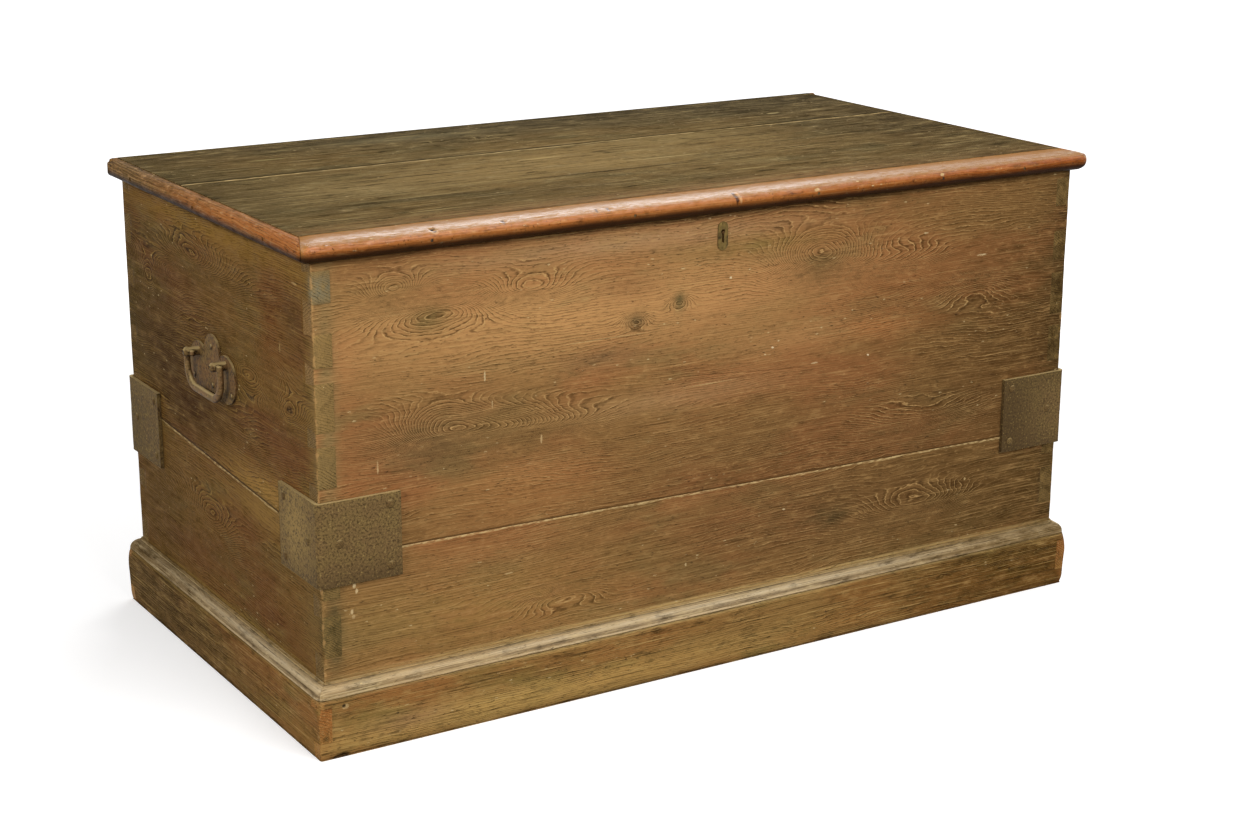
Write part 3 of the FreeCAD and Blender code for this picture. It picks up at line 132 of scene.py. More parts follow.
class ChestColours(bpy.types.PropertyGroup):
    """The finishes of the chest."""

    front: swatch("Front", "#846138", "Main brown of the front boards")
    front_warm: swatch("Front, warm", "#8c5c36", "Orange-brown patches of the front")
    front_olive: swatch("Front, olive", "#745e38", "Olive patches of the front")
    end: swatch("Ends", "#72522a", "Main brown of the end boards")
    lid: swatch("Lid", "#665331", "Olive-brown of the lid boards")
    nosing: swatch("Nosing", "#a45f2a", "Orange-brown of the worn nosing")
    plinth: swatch("Plinth", "#8c6a3b", "Olive-brown of the plinth")
    inside: swatch("Inside", "#a07c4e", "Dry pine inside the chest")
    iron: swatch("Iron", "#675030", "Rust brown of the iron plates")
    handle: swatch("Handles", "#745736", "Rust brown of the handles")
    brass: swatch("Brass", "#5e4c27", "Olive-brown patina of the keyhole plate")


# Kinds of node, each with the settings that it is used with
TIMES = ("ShaderNodeMath", {"operation": "MULTIPLY"})
MORE = ("ShaderNodeMath", {"operation": "MULTIPLY_ADD"})
LESS = ("ShaderNodeMath", {"operation": "SUBTRACT"})
SHARE = ("ShaderNodeMath", {"operation": "DIVIDE"})
PART = ("ShaderNodeMath", {"operation": "FRACT"})
FALL = ("ShaderNodeMath", {"operation": "EXPONENT"})
MOST = ("ShaderNodeMath", {"operation": "MAXIMUM"})
SIZE = ("ShaderNodeMath", {"operation": "ABSOLUTE"})
BELOW = ("ShaderNodeMath", {"operation": "LESS_THAN"})
STRETCH = ("ShaderNodeVectorMath", {"operation": "MULTIPLY"})
STRETCH_MOVE = ("ShaderNodeVectorMath", {"operation": "MULTIPLY_ADD"})
MOVE_BACK = ("ShaderNodeVectorMath", {"operation": "SUBTRACT"})
SIZES = ("ShaderNodeVectorMath", {"operation": "ABSOLUTE"})
SQUARE = ("ShaderNodeVectorMath", {"operation": "DOT_PRODUCT"})
REACH = ("ShaderNodeVectorMath", {"operation": "LENGTH"})
EASE = ("ShaderNodeMapRange", {"interpolation_type": "SMOOTHSTEP"})
RAMP = ("ShaderNodeMapRange", {})
PAINT = ("ShaderNodeMix", {"data_type": "RGBA"})
NOISE = ("ShaderNodeTexNoise", {})
CELLS = ("ShaderNodeTexVoronoi", {})
SPLIT = ("ShaderNodeSeparateXYZ", {})
JOIN = ("ShaderNodeCombineXYZ", {})
PLACE = ("ShaderNodeTexCoord", {})
BUMP = ("ShaderNodeBump", {})
DULL = ("ShaderNodeBsdfDiffuse", {})
GLOW = ("ShaderNodeEmission", {})
SKY = ("ShaderNodeBackground", {})
BOTH = ("ShaderNodeAddShader", {})
EITHER = ("ShaderNodeMixShader", {})


def add(tree, kind, *inputs, out=0):
    """Adds a node, links or sets its inputs in their order, and returns an output, or all."""
    name, settings = kind
    node = tree.nodes.new(name)
    for setting, value in settings.items():
        setattr(node, setting, value)
    for socket, value in zip([one for one in node.inputs if one.enabled], inputs):
        if isinstance(value, bpy.types.NodeSocket):
            tree.links.new(value, socket)
        elif value is not None:
            socket.default_value = rgba(value) if socket.type == "RGBA" else value
    if out == "all":
        return [one for one in node.outputs if one.enabled]
    return next(one for one in node.outputs if one.enabled and out in (0, one.name))


def patches(tree, place, sizes, detail=2.0, shift=(0.0, 0.0, 0.0), rough=0.5):
    """Soft patches from 0 to 1, whose sizes along, across and into the wood are in mm."""
    scaled = add(tree, STRETCH_MOVE, place, tuple(1.0 / size for size in sizes), shift)
    return add(tree, NOISE, scaled, 1.0, detail, rough)


def spot(tree, place, centre, radii):
    """A soft round spot, 1 at its centre, whose place and radii are in mm."""
    shifted = add(tree, MOVE_BACK, place, (*centre, 0.0))
    scaled = add(tree, STRETCH, shifted, (1.0 / radii[0], 1.0 / radii[1], 0.0))
    return add(tree, FALL, add(tree, TIMES, add(tree, SQUARE, scaled, scaled), -1.0))


def new_material(name):
    """An empty material with a Principled shader, its tree and its places in mm."""
    material = bpy.data.materials.new(name)
    material.use_nodes = True
    tree = material.node_tree
    tree.nodes.clear()
    shader = tree.nodes.new("ShaderNodeBsdfPrincipled")
    end = tree.nodes.new("ShaderNodeOutputMaterial")
    tree.links.new(shader.outputs[0], end.inputs["Surface"])
    place = add(tree, STRETCH, add(tree, PLACE, out="Object"), (1 / MM, 1 / MM, 1 / MM))
    return material, tree, shader, place


def seam_line(under, over, half, axis, rises=1):
    """The sloping joint between two boards: its middle height and its slope, in mm."""
    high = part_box(under)[1][axis] / MM
    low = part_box(over)[0][axis] / MM
    return (high + low) / 2, rises * (high - low) * MM / (2 * half)


def growth_rings(tree, flow, knots, tilt, swirl, spacing, moved):
    """Dark late wood, pale early wood and nearness to a knot, each from 0 to 1.

    The rings are the level lines of a field in mm that knots bulge and noise bends."""
    along, across, deep = add(tree, SPLIT, flow, out="all")
    bend = patches(tree, flow, (520.0, 130.0, 200.0), 1.0, moved)
    wave = patches(tree, flow, (150.0, 40.0, 80.0), 2.0, moved)
    ripple = patches(tree, flow, (26.0, 9.0, 14.0), 3.0, moved, 0.6)
    field, eye = across, None
    for part, amount in ((along, tilt), (deep, 0.6), (bend, swirl), (wave, swirl * 0.35),
                         (ripple, 5.0)):
        field = add(tree, MORE, part, amount, field)
    for centre, radii, strength in knots:
        one = spot(tree, flow, centre, radii)
        field = add(tree, MORE, one, strength, field)
        eye = one if eye is None else add(tree, MOST, eye, one)
    phase = add(tree, PART, add(tree, SHARE, field, spacing))
    late = add(tree, TIMES, add(tree, EASE, phase, 0.5, 0.8),
               add(tree, EASE, phase, 0.84, 0.96, 1.0, 0.0))
    early = add(tree, MOST, add(tree, EASE, phase, 0.94, 1.0),
                add(tree, EASE, phase, 0.0, 0.14, 1.0, 0.0))
    return late, early, eye


def bare_corners(tree, place):
    """Ragged bare wood where hands and floors have rubbed the four upright corners."""
    x, y, _ = add(tree, SPLIT, add(tree, SIZES, place), out="all")
    inward = add(tree, MOST, add(tree, LESS, HALF_WIDE / MM, x),
                 add(tree, LESS, HALF_DEEP / MM, y))
    ragged = patches(tree, place, (12.0, 12.0, 16.0), 3.0, (3.0, 5.0, 7.0), 0.65)
    return add(tree, EASE, add(tree, MORE, ragged, -20.0, inward), -10.2, -7.4, 1.0, 0.0)


def within_carcase(tree, place):
    """1 on the inner faces of the carcase boards and 0 outside."""
    x, y, _ = add(tree, SPLIT, add(tree, SIZES, place), out="all")
    return add(tree, TIMES, add(tree, BELOW, x, (HALF_WIDE - BOARD) / MM + 1.0),
               add(tree, BELOW, y, (HALF_DEEP - BOARD) / MM + 1.0))


def pine(name, axes, colours, knots=(), stains=(), marks=(), spacing=3.6, tilt=0.0, shift=0.0,
         figure=1.0, gloss=0.6, sheen=0.12, relief=1.0, swirl=60.0, streaks=1.0, seam=None,
         carcase=False, lid=False, specks=1.0, painted_under_shade=None, butt=("#80643f", "#5a4427", "#957a4a"),
         mottle_mm=(34.0, 12.0), blotch=1.0, pore_mm=(9.0, 1.5), rub=None, polish=None):
    """Old pine, planed, oiled and worn: growth rings that bend round knots, and patina.

    The eye sees thin broken lines of dark late wood and pale early wood, soft patches of oil
    and dirt that are larger than a hand, pinholes and pale scratches. The pores are drawn
    1.5 to 4 mm wide, several times as wide as real ones, so that they show.

    The axes name the board's own length, height and outward side. Knots, stains and marks have
    their places and sizes along its length and height, in millimetres; some of the stains are
    painted light and shade. "rub" is an edge's outer face, a tone, and how far in that tone
    sets in and is full. The under-shade pair and "polish" are heights: painted shade lies below
    the first pair, a waxed shine above the second. "carcase" and "lid" leave hidden faces dry,
    where nobody ever oiled the wood."""
    material, tree, shader, place = new_material(name)
    parts = add(tree, SPLIT, place, out="all")
    flow = add(tree, JOIN, *[parts["XYZ".index(axis)] for axis in axes])
    along, across, deep = add(tree, SPLIT, flow, out="all")
    moved = (shift, shift * 0.7, shift * 1.3)
    late, early, eye = growth_rings(tree, flow, knots, tilt, swirl, spacing, moved)

    # Where the figure is strong, and where fine wear has broken its lines
    patchy = patches(tree, flow, (190.0, 55.0, 60.0), 3.0, (shift + 5.0, 1.0, 2.0))
    strong = add(tree, EASE, patchy, 0.36, 0.62, 0.3 * figure, 0.85 * figure)
    if eye is not None:
        strong = add(tree, MOST, strong, add(tree, EASE, eye, 0.04, 0.3, 0.0, 1.05 * figure))
    grit = patches(tree, flow, (11.0, 4.0, 4.0), 4.0, (shift + 1.0, 8.0, 5.0), 0.65)
    strong = add(tree, TIMES, strong, add(tree, EASE, grit, 0.36, 0.58, 0.3, 1.0))
    fibre = patches(tree, flow, (110.0, 1.7, 1.7), 3.0, moved, 0.6)
    pores = patches(tree, flow, (pore_mm[0], pore_mm[1], pore_mm[1]), 2.0, moved, 0.6)

    # Broad colours, the end grain, and stains, some of which are painted light and shade
    main, warm, olive, dark, pale = colours
    broad = patches(tree, flow, (330.0, 120.0, 120.0), 3.0, (shift + 2.0, 3.0, 1.0))
    cloudy = patches(tree, flow, (170.0, 60.0, 60.0), 4.0, (shift + 9.0, 7.0, 4.0), 0.6)
    mottle = patches(tree, flow, (mottle_mm[0], mottle_mm[1], mottle_mm[1]), 5.0,
                     (shift + 4.0, 6.0, 8.0), 0.62)
    colour = add(tree, PAINT, add(tree, EASE, broad, 0.42, 0.6), main, warm)
    colour = add(tree, PAINT, add(tree, EASE, cloudy, 0.5, 0.68, 0.0, 0.8), colour, olive)
    normal = add(tree, SPLIT, add(tree, PLACE, out="Normal"), out="all")
    facing = add(tree, SIZE, normal["XYZ".index(axes[0])])
    end_grain = add(tree, EASE, facing, 0.72, 0.9)
    sawn = add(tree, PAINT, add(tree, EASE, late, 0.2, 0.8, 0.0, 0.5), butt[0], butt[1])
    sawn = add(tree, PAINT, add(tree, EASE, grit, 0.5, 0.66, 0.0, 0.7), sawn, butt[2])
    colour = add(tree, PAINT, end_grain, colour, sawn)
    ragged = add(tree, RAMP, mottle, 0.3, 0.65, 0.55, 1.25)
    for centre, radii, stain, strength in stains:
        edge = add(tree, TIMES, spot(tree, flow, centre, radii), strength)
        colour = add(tree, PAINT, add(tree, TIMES, edge, ragged), colour, stain)

    # Dirt in the hollows, worn high places, rings, fibres and pores
    for source, low, high, tone, strength in (
            (mottle, 0.52, 0.78, dark, 0.45 * blotch), (mottle, 0.46, 0.2, pale, 0.32 * blotch),
            (grit, 0.54, 0.74, dark, 0.4), (grit, 0.44, 0.26, pale, 0.3),
            (fibre, 0.53, 0.72, dark, 0.5 * streaks), (fibre, 0.46, 0.28, pale, 0.4 * streaks)):
        colour = add(tree, PAINT, add(tree, EASE, source, low, high, 0.0, strength), colour, tone)
    colour = add(tree, PAINT, add(tree, TIMES, add(tree, TIMES, late, strong), 0.62), colour, dark)
    colour = add(tree, PAINT, add(tree, TIMES, add(tree, TIMES, early, strong), 0.68), colour,
                 pale)
    pore = add(tree, TIMES, add(tree, EASE, pores, 0.62, 0.74, 0.0, 0.78),
               add(tree, EASE, cloudy, 0.38, 0.55, 0.35, 1.0))
    colour = add(tree, PAINT, pore, colour, "#2a1b0e")
    stroke = add(tree, TIMES, add(tree, EASE, pores, 0.33, 0.24, 0.0, 0.6),
                 add(tree, EASE, cloudy, 0.6, 0.42, 0.2, 1.0))
    colour = add(tree, PAINT, stroke, colour, pale)

    # Wood rubbed bare inward from an edge
    if rub is not None:
        outer, tone, start, full = rub
        inward = add(tree, LESS, outer, add(tree, SIZE, deep))
        dull = add(tree, MORE, grit, 9.0, inward)
        dull = add(tree, EASE, dull, start + 4.5, full + 4.5, 0.0, 0.75)
        colour = add(tree, PAINT, dull, colour, tone)

    # Pale flecks where the patina is broken, and single marks
    flecks = add(tree, STRETCH_MOVE, flow, (0.04, 0.1, 0.1), (4.0, 9.0, 2.0))
    torn = add(tree, NOISE, flecks, 9.0, 2.0, out="Color")
    flecks = add(tree, STRETCH_MOVE, torn, (0.3, 0.3, 0.3), flecks)
    fleck = add(tree, TIMES, add(tree, EASE, add(tree, CELLS, flecks, 1.0), 0.05, 0.12,
                                 0.6 * specks, 0.0), add(tree, EASE, cloudy, 0.48, 0.58))
    colour = add(tree, PAINT, fleck, colour, "#c8b080")
    shaken = add(tree, MOVE_BACK, add(tree, STRETCH_MOVE, torn, (3.0, 3.0, 3.0), flow),
                 (1.5, 1.5, 1.5))
    for centre, radii, tone, strength in marks:
        edge = add(tree, EASE, spot(tree, shaken, centre, radii), 0.2, 0.6, 0.0, strength)
        if rub is not None:
            edge = add(tree, TIMES, edge, add(tree, EASE, inward, 13.5, 15.5, 1.0, 0.0))
        colour = add(tree, PAINT, add(tree, TIMES, edge, ragged), colour, tone)

    if seam is not None:
        middle, slope, wide = seam
        wander = patches(tree, flow, (60.0, 60.0, 60.0), 4.0, (6.0, 2.0, 9.0), 0.65)
        off = add(tree, LESS, across, add(tree, MORE, along, slope, middle))
        drift = add(tree, MORE, wander, 5.0 * wide, off)
        lip = add(tree, TIMES, add(tree, EASE, drift, -0.6 * wide, 1.0 * wide),
                  add(tree, EASE, off, -0.7 * wide, -0.2 * wide, 1.0, 0.0))
        lip = add(tree, TIMES, lip, add(tree, EASE, pores, 0.4, 0.58, 0.85, 0.15))
        colour = add(tree, PAINT, lip, colour, "#bfa472")
        gap = add(tree, TIMES, add(tree, EASE, off, -0.7 * wide, -0.3 * wide),
                  add(tree, EASE, off, 0.4 * wide, 2.2 * wide, 1.0, 0.0))
        colour = add(tree, PAINT, add(tree, TIMES, gap, 0.75), colour, dark)
    if carcase:
        bare = add(tree, TIMES, bare_corners(tree, place), 0.6)
        colour = add(tree, PAINT, bare, colour, "#ab8553")
    # Painted shade on the lower part of the nosing's round, where little light reaches
    if painted_under_shade is not None:
        low, high = painted_under_shade
        wander = add(tree, MORE, cloudy, 9.0, parts[2])
        under = add(tree, EASE, wander, low + 4.5, high + 4.5, 0.95, 0.0)
        colour = add(tree, PAINT, under, colour, "#1d1007")
    if carcase or lid:
        if carcase:
            unfinished = within_carcase(tree, place)
        else:
            unfinished = add(tree, EASE, normal[2], -0.75, -0.9)
        if rub is not None:
            unfinished = add(tree, TIMES, unfinished, add(tree, EASE, inward, 20.0, 23.0))
        dry = add(tree, PAINT, add(tree, TIMES, late, 0.55), LOOKS.inside, "#8b6a42")
        dry = add(tree, PAINT, add(tree, EASE, fibre, 0.55, 0.75, 0.0, 0.5), dry, "#6d5536")
        dry = add(tree, PAINT, add(tree, EASE, cloudy, 0.45, 0.65, 0.0, 0.6), dry, "#8f7a55")
        colour = add(tree, PAINT, unfinished, colour, dry)
    if polish is not None:
        low, high, share = polish
        waxed = add(tree, EASE, add(tree, MORE, cloudy, 3.0, parts[2]), low + 1.5, high + 1.5,
                    0.0, share)
        fading = add(tree, TIMES, add(tree, EASE, inward, 2.0, 42.0, 1.0, 0.15),
                     add(tree, EASE, grit, 0.44, 0.6, 1.05, 0.45))
        tree.links.new(add(tree, TIMES, waxed, fading), shader.inputs["Coat Weight"])
        shader.inputs["Coat Roughness"].default_value = 0.32

    height = add(tree, MORE, late, add(tree, TIMES, strong, -0.8), fibre)
    height = add(tree, MORE, grit, 0.5, add(tree, MORE, mottle, 0.6, height))
    height = add(tree, MORE, pore, -1.6, height)
    bump = add(tree, BUMP, 1.0, 0.00024 * relief, None, height)
    worn = add(tree, RAMP, mottle, 0.3, 0.7, gloss - 0.08, gloss + 0.14)
    if rub is not None:
        worn = add(tree, MOST, worn, add(tree, EASE, inward, 16.0, 34.0, 0.0, 0.75))
    tree.links.new(colour, shader.inputs["Base Color"])
    tree.links.new(worn, shader.inputs["Roughness"])
    tree.links.new(bump, shader.inputs["Normal"])
    if polish is not None:
        tree.links.new(bump, shader.inputs["Coat Normal"])
    shader.inputs["Specular IOR Level"].default_value = sheen
    return material


def rusted_iron(name, main, pale, dark, rough=0.62, grain_mm=3.0, rust_and_painted_light=()):
    """Wrought iron, hammered, under old rust and wax: brown, pitted, hardly any metal bare.

    The eye sees a mottle of dark and light brown a few millimetres wide, pale dust and a
    painted highlight on what faces up, painted shade on what faces down, and at the given
    spots darker rust, painted shade and painted highlights."""
    material, tree, shader, place = new_material(name)
    pit = patches(tree, place, (grain_mm,) * 3, 4.0, (1.0, 2.0, 3.0), 0.7)
    broad = patches(tree, place, (24.0, 24.0, 24.0), 3.0, (3.0, 1.0, 2.0))
    parts = add(tree, SPLIT, place, out="all")
    colour = add(tree, PAINT, add(tree, EASE, broad, 0.42, 0.62, 0.0, 0.7), main, "#6d5832")
    for axes, centre, radii, tone, strength in rust_and_painted_light:
        flat = add(tree, JOIN, *[parts["XYZ".index(axis)] for axis in axes])
        edge = add(tree, TIMES, spot(tree, flat, centre, radii), strength)
        colour = add(tree, PAINT, edge, colour, tone)
    for low, high, tone, strength in ((0.48, 0.62, dark, 0.85), (0.42, 0.32, pale, 0.85)):
        colour = add(tree, PAINT, add(tree, EASE, pit, low, high, 0.0, strength), colour, tone)
    upward = add(tree, SPLIT, add(tree, PLACE, out="Normal"), out="all")[2]
    # Pale dust and a painted highlight on what faces up
    dust_and_painted_highlight = add(tree, EASE, upward, 0.35, 0.8, 0.0, 0.8)
    colour = add(tree, PAINT, dust_and_painted_highlight, colour, "#b89f6c")
    # Painted shade on what faces down
    shaded = add(tree, EASE, upward, -0.3, -0.8, 0.0, 0.8)
    colour = add(tree, PAINT, shaded, colour, "#241608")
    height = add(tree, MORE, pit, 1.0, broad)
    bump = add(tree, BUMP, 1.0, 0.0005, None, height)
    worn = add(tree, RAMP, pit, 0.3, 0.7, rough + 0.12, rough - 0.1)
    tree.links.new(colour, shader.inputs["Base Color"])
    tree.links.new(bump, shader.inputs["Normal"])
    tree.links.new(worn, shader.inputs["Roughness"])
    shader.inputs["Specular IOR Level"].default_value = 0.15
    shader.inputs["Metallic"].default_value = 0.1
    return material


def patinated_metal(name, main, dark, pale, rough, metal):
    """Handled metal with a thin patina: brighter where fingers and keys rub it."""
    material, tree, shader, place = new_material(name)
    cloud = patches(tree, place, (9.0, 9.0, 9.0), 4.0, (2.0, 5.0, 1.0), 0.6)
    fine = patches(tree, place, (1.2, 1.2, 1.2), 2.0, (7.0, 1.0, 3.0), 0.6)
    colour = add(tree, PAINT, add(tree, EASE, cloud, 0.45, 0.7, 0.0, 0.85), main, dark)
    colour = add(tree, PAINT, add(tree, EASE, cloud, 0.4, 0.25, 0.0, 0.7), colour, pale)
    bump = add(tree, BUMP, 1.0, 0.00012, None, fine)
    worn = add(tree, RAMP, cloud, 0.3, 0.7, rough - 0.1, rough + 0.15)
    tree.links.new(colour, shader.inputs["Base Color"])
    tree.links.new(bump, shader.inputs["Normal"])
    tree.links.new(worn, shader.inputs["Roughness"])
    shader.inputs["Metallic"].default_value = metal
    return material


def steps(low, high, pitch):
    """Places between two ends, evenly spaced, about a pitch apart."""
    count = max(1, round((high - low) / pitch))
    return [low + (high - low) * at / count for at in range(1, count)]


def cut_along(bm, cuts, skin):
    """Cuts the faces of the skin with planes square to the axes, so that they can bend."""
    faces = [face for face in bm.faces if skin(face.calc_center_median())]
    parts = {part for face in faces for part in (*face.verts, *face.edges)}
    geometry = faces + list(parts)
    for axis, places in cuts:
        normal = Vector((0.0, 0.0, 0.0))
        normal[axis] = 1.0
        for place in places:
            geometry = bmesh.ops.bisect_plane(bm, geom=geometry, dist=1e-6,
                                              plane_co=normal * place, plane_no=normal)["geom"]


def anywhere(centre):
    """A skin that takes the whole piece in."""
    return True


def outside(centre):
    """The skin of the carcase: the faces on its four outer sides."""
    return (HALF_WIDE - abs(centre.x) < 0.002) or (HALF_DEEP - abs(centre.y) < 0.002)


def merged(name):
    """A CAD node's triangles joined into one mesh, with its flat faces whole."""
    bm = bmesh.new()
    bm.from_mesh(NODES[name].data)
    bmesh.ops.remove_doubles(bm, verts=bm.verts, dist=3e-6)
    bmesh.ops.dissolve_limit(bm, angle_limit=math.radians(0.6), use_dissolve_boundaries=False,
                             verts=bm.verts, edges=bm.edges, delimit=set())
    return bm


def soften(bm, width, turn=25.0, segments=1):
    """Wears every sharp edge to a narrow bevel."""
    sharp = [edge for edge in bm.edges
             if len(edge.link_faces) == 2 and edge.calc_face_angle() > math.radians(turn)]
    if sharp and width > 0:
        bmesh.ops.bevel(bm, geom=sharp, offset=width, offset_type="OFFSET", segments=segments,
                        profile=0.5, affect="EDGES", clamp_overlap=True, material=-1)


def finished(bm, name, node, material, sharp=38.0):
    """A worn mesh as a piece of the chest: it rides where its CAD node does."""
    bmesh.ops.triangulate(bm, faces=[face for face in bm.faces if len(face.verts) > 4])
    mesh = bpy.data.meshes.new(name)
    bm.to_mesh(mesh)
    bm.free()
    mesh.shade_smooth()
    mesh.set_sharp_from_angle(angle=math.radians(sharp))
    mesh.materials.append(material)
    piece = bpy.data.objects.new(name, mesh)
    bpy.context.scene.collection.objects.link(piece)
    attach(piece, NODES[node]["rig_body"])
    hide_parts(node)
    return piece


def carved(node, material, edge=0.0005, cuts=(), wear=None, segments=1, turn=25.0,
           sharp=38.0, skin=anywhere):
    """A merged copy of a CAD node, softened, cut finer and worn by a function of the place."""
    bm = merged(node)
    soften(bm, edge, turn, segments)
    cut_along(bm, cuts, skin)
    if wear is not None:
        bm.normal_update()
        normals = {vertex: vertex.normal.copy() for vertex in bm.verts}
        for vertex in bm.verts:
            vertex.co = wear(vertex.co.copy(), normals[vertex])
    return finished(bm, f"worn_{node}", node, material, sharp)


def hollow(place, wavelength, seed):
    """Smooth unevenness from -1 to 1 at a place, for a wavelength in metres."""
    return noise.noise(place / wavelength + Vector((seed, seed * 1.7, seed * 0.3)))


def rounded_corner(place, half_x, half_y, radius):
    """Brings a place near an upright outer corner inside a round of that radius."""
    in_x = half_x - abs(place.x)
    in_y = half_y - abs(place.y)
    if in_x >= radius or in_y >= radius:
        return place
    out = Vector((radius - in_x, radius - in_y))
    if out.length <= radius:
        return place
    out = out * (radius / out.length)
    place.x = math.copysign(half_x - radius + out.x, place.x)
    place.y = math.copysign(half_y - radius + out.y, place.y)
    return place


# Damage on the carcase's near corner: height, size and depth of each chip, in metres
CHIPS = ((0.204, 0.009, 0.006), (0.191, 0.006, 0.0045), (0.129, 0.008, 0.0055),
         (0.117, 0.005, 0.004), (0.455, 0.006, 0.0025), (0.352, 0.007, 0.002),
         (0.541, 0.005, 0.0015), (0.161, 0.006, 0.0015), (0.493, 0.008, 0.001))

# Splits in the front's upper board: two ends across and up, in metres
SPLITS = (((-0.251, 0.4803), (-0.121, 0.4762)), ((-0.082, 0.4131), (0.149, 0.3946)),
          ((-0.160, 0.3541), (-0.084, 0.3532)), ((-0.029, 0.3642), (0.041, 0.3634)))


def split_depth(x, z):
    """How deep the front is split at a place, as a share of a full split."""
    depth = 0.0
    for (x_low, z_low), (x_high, z_high) in SPLITS:
        share = (x - x_low) / (x_high - x_low)
        if not 0.0 < share < 1.0:
            continue
        line = z_low + (z_high - z_low) * share
        line += 0.0007 * noise.noise(Vector((x * 60, 0.0, z_low * 9)))
        off = abs(z - line)
        ease = min(1.0, share * 6, (1 - share) * 6)
        depth = max(depth, ease * max(0.0, 1 - off / 0.0011))
    return depth


def worn_carcase(place, normal):
    """Wear of the four sides: round corners, chips, hollows and splits."""
    corner = Vector((place.x, place.y, 0.0))
    up = Vector((math.copysign(1.0, place.x), math.copysign(2.0, place.y), place.z))
    radius = WEAR.arris * (1 + 0.35 * hollow(up, 0.045, 3.0) + 0.2 * hollow(up, 0.012, 5.0))
    outer_x = HALF_WIDE - abs(place.x) < 1e-4
    outer_y = HALF_DEEP - abs(place.y) < 1e-4
    if outer_x or outer_y:
        depth = WEAR.undulation * (0.55 + 0.3 * hollow(place, 0.11, 1.0)
                                   + 0.15 * hollow(place, 0.035, 2.0))
        if outer_y and place.y < 0:
            depth += 0.0013 * split_depth(place.x, place.z)
        if outer_x:
            place.x -= math.copysign(depth, place.x)
        if outer_y:
            place.y -= math.copysign(depth, place.y)
    if place.x < 0 and place.y < 0:
        for height, size, bite in CHIPS:
            near = max(0.0, 1 - ((place.z - height) / size) ** 2)
            radius += bite * near
    return rounded_corner(place, HALF_WIDE, HALF_DEEP, radius)


def corner_cuts(half, reach=0.0085):
    """Planes close to both outer faces of the carcase along one axis."""
    offsets = (0.0007, 0.0016, 0.0028, 0.0044, 0.0064, reach)
    return [sign * (half - offset) for sign in (-1, 1) for offset in offsets]


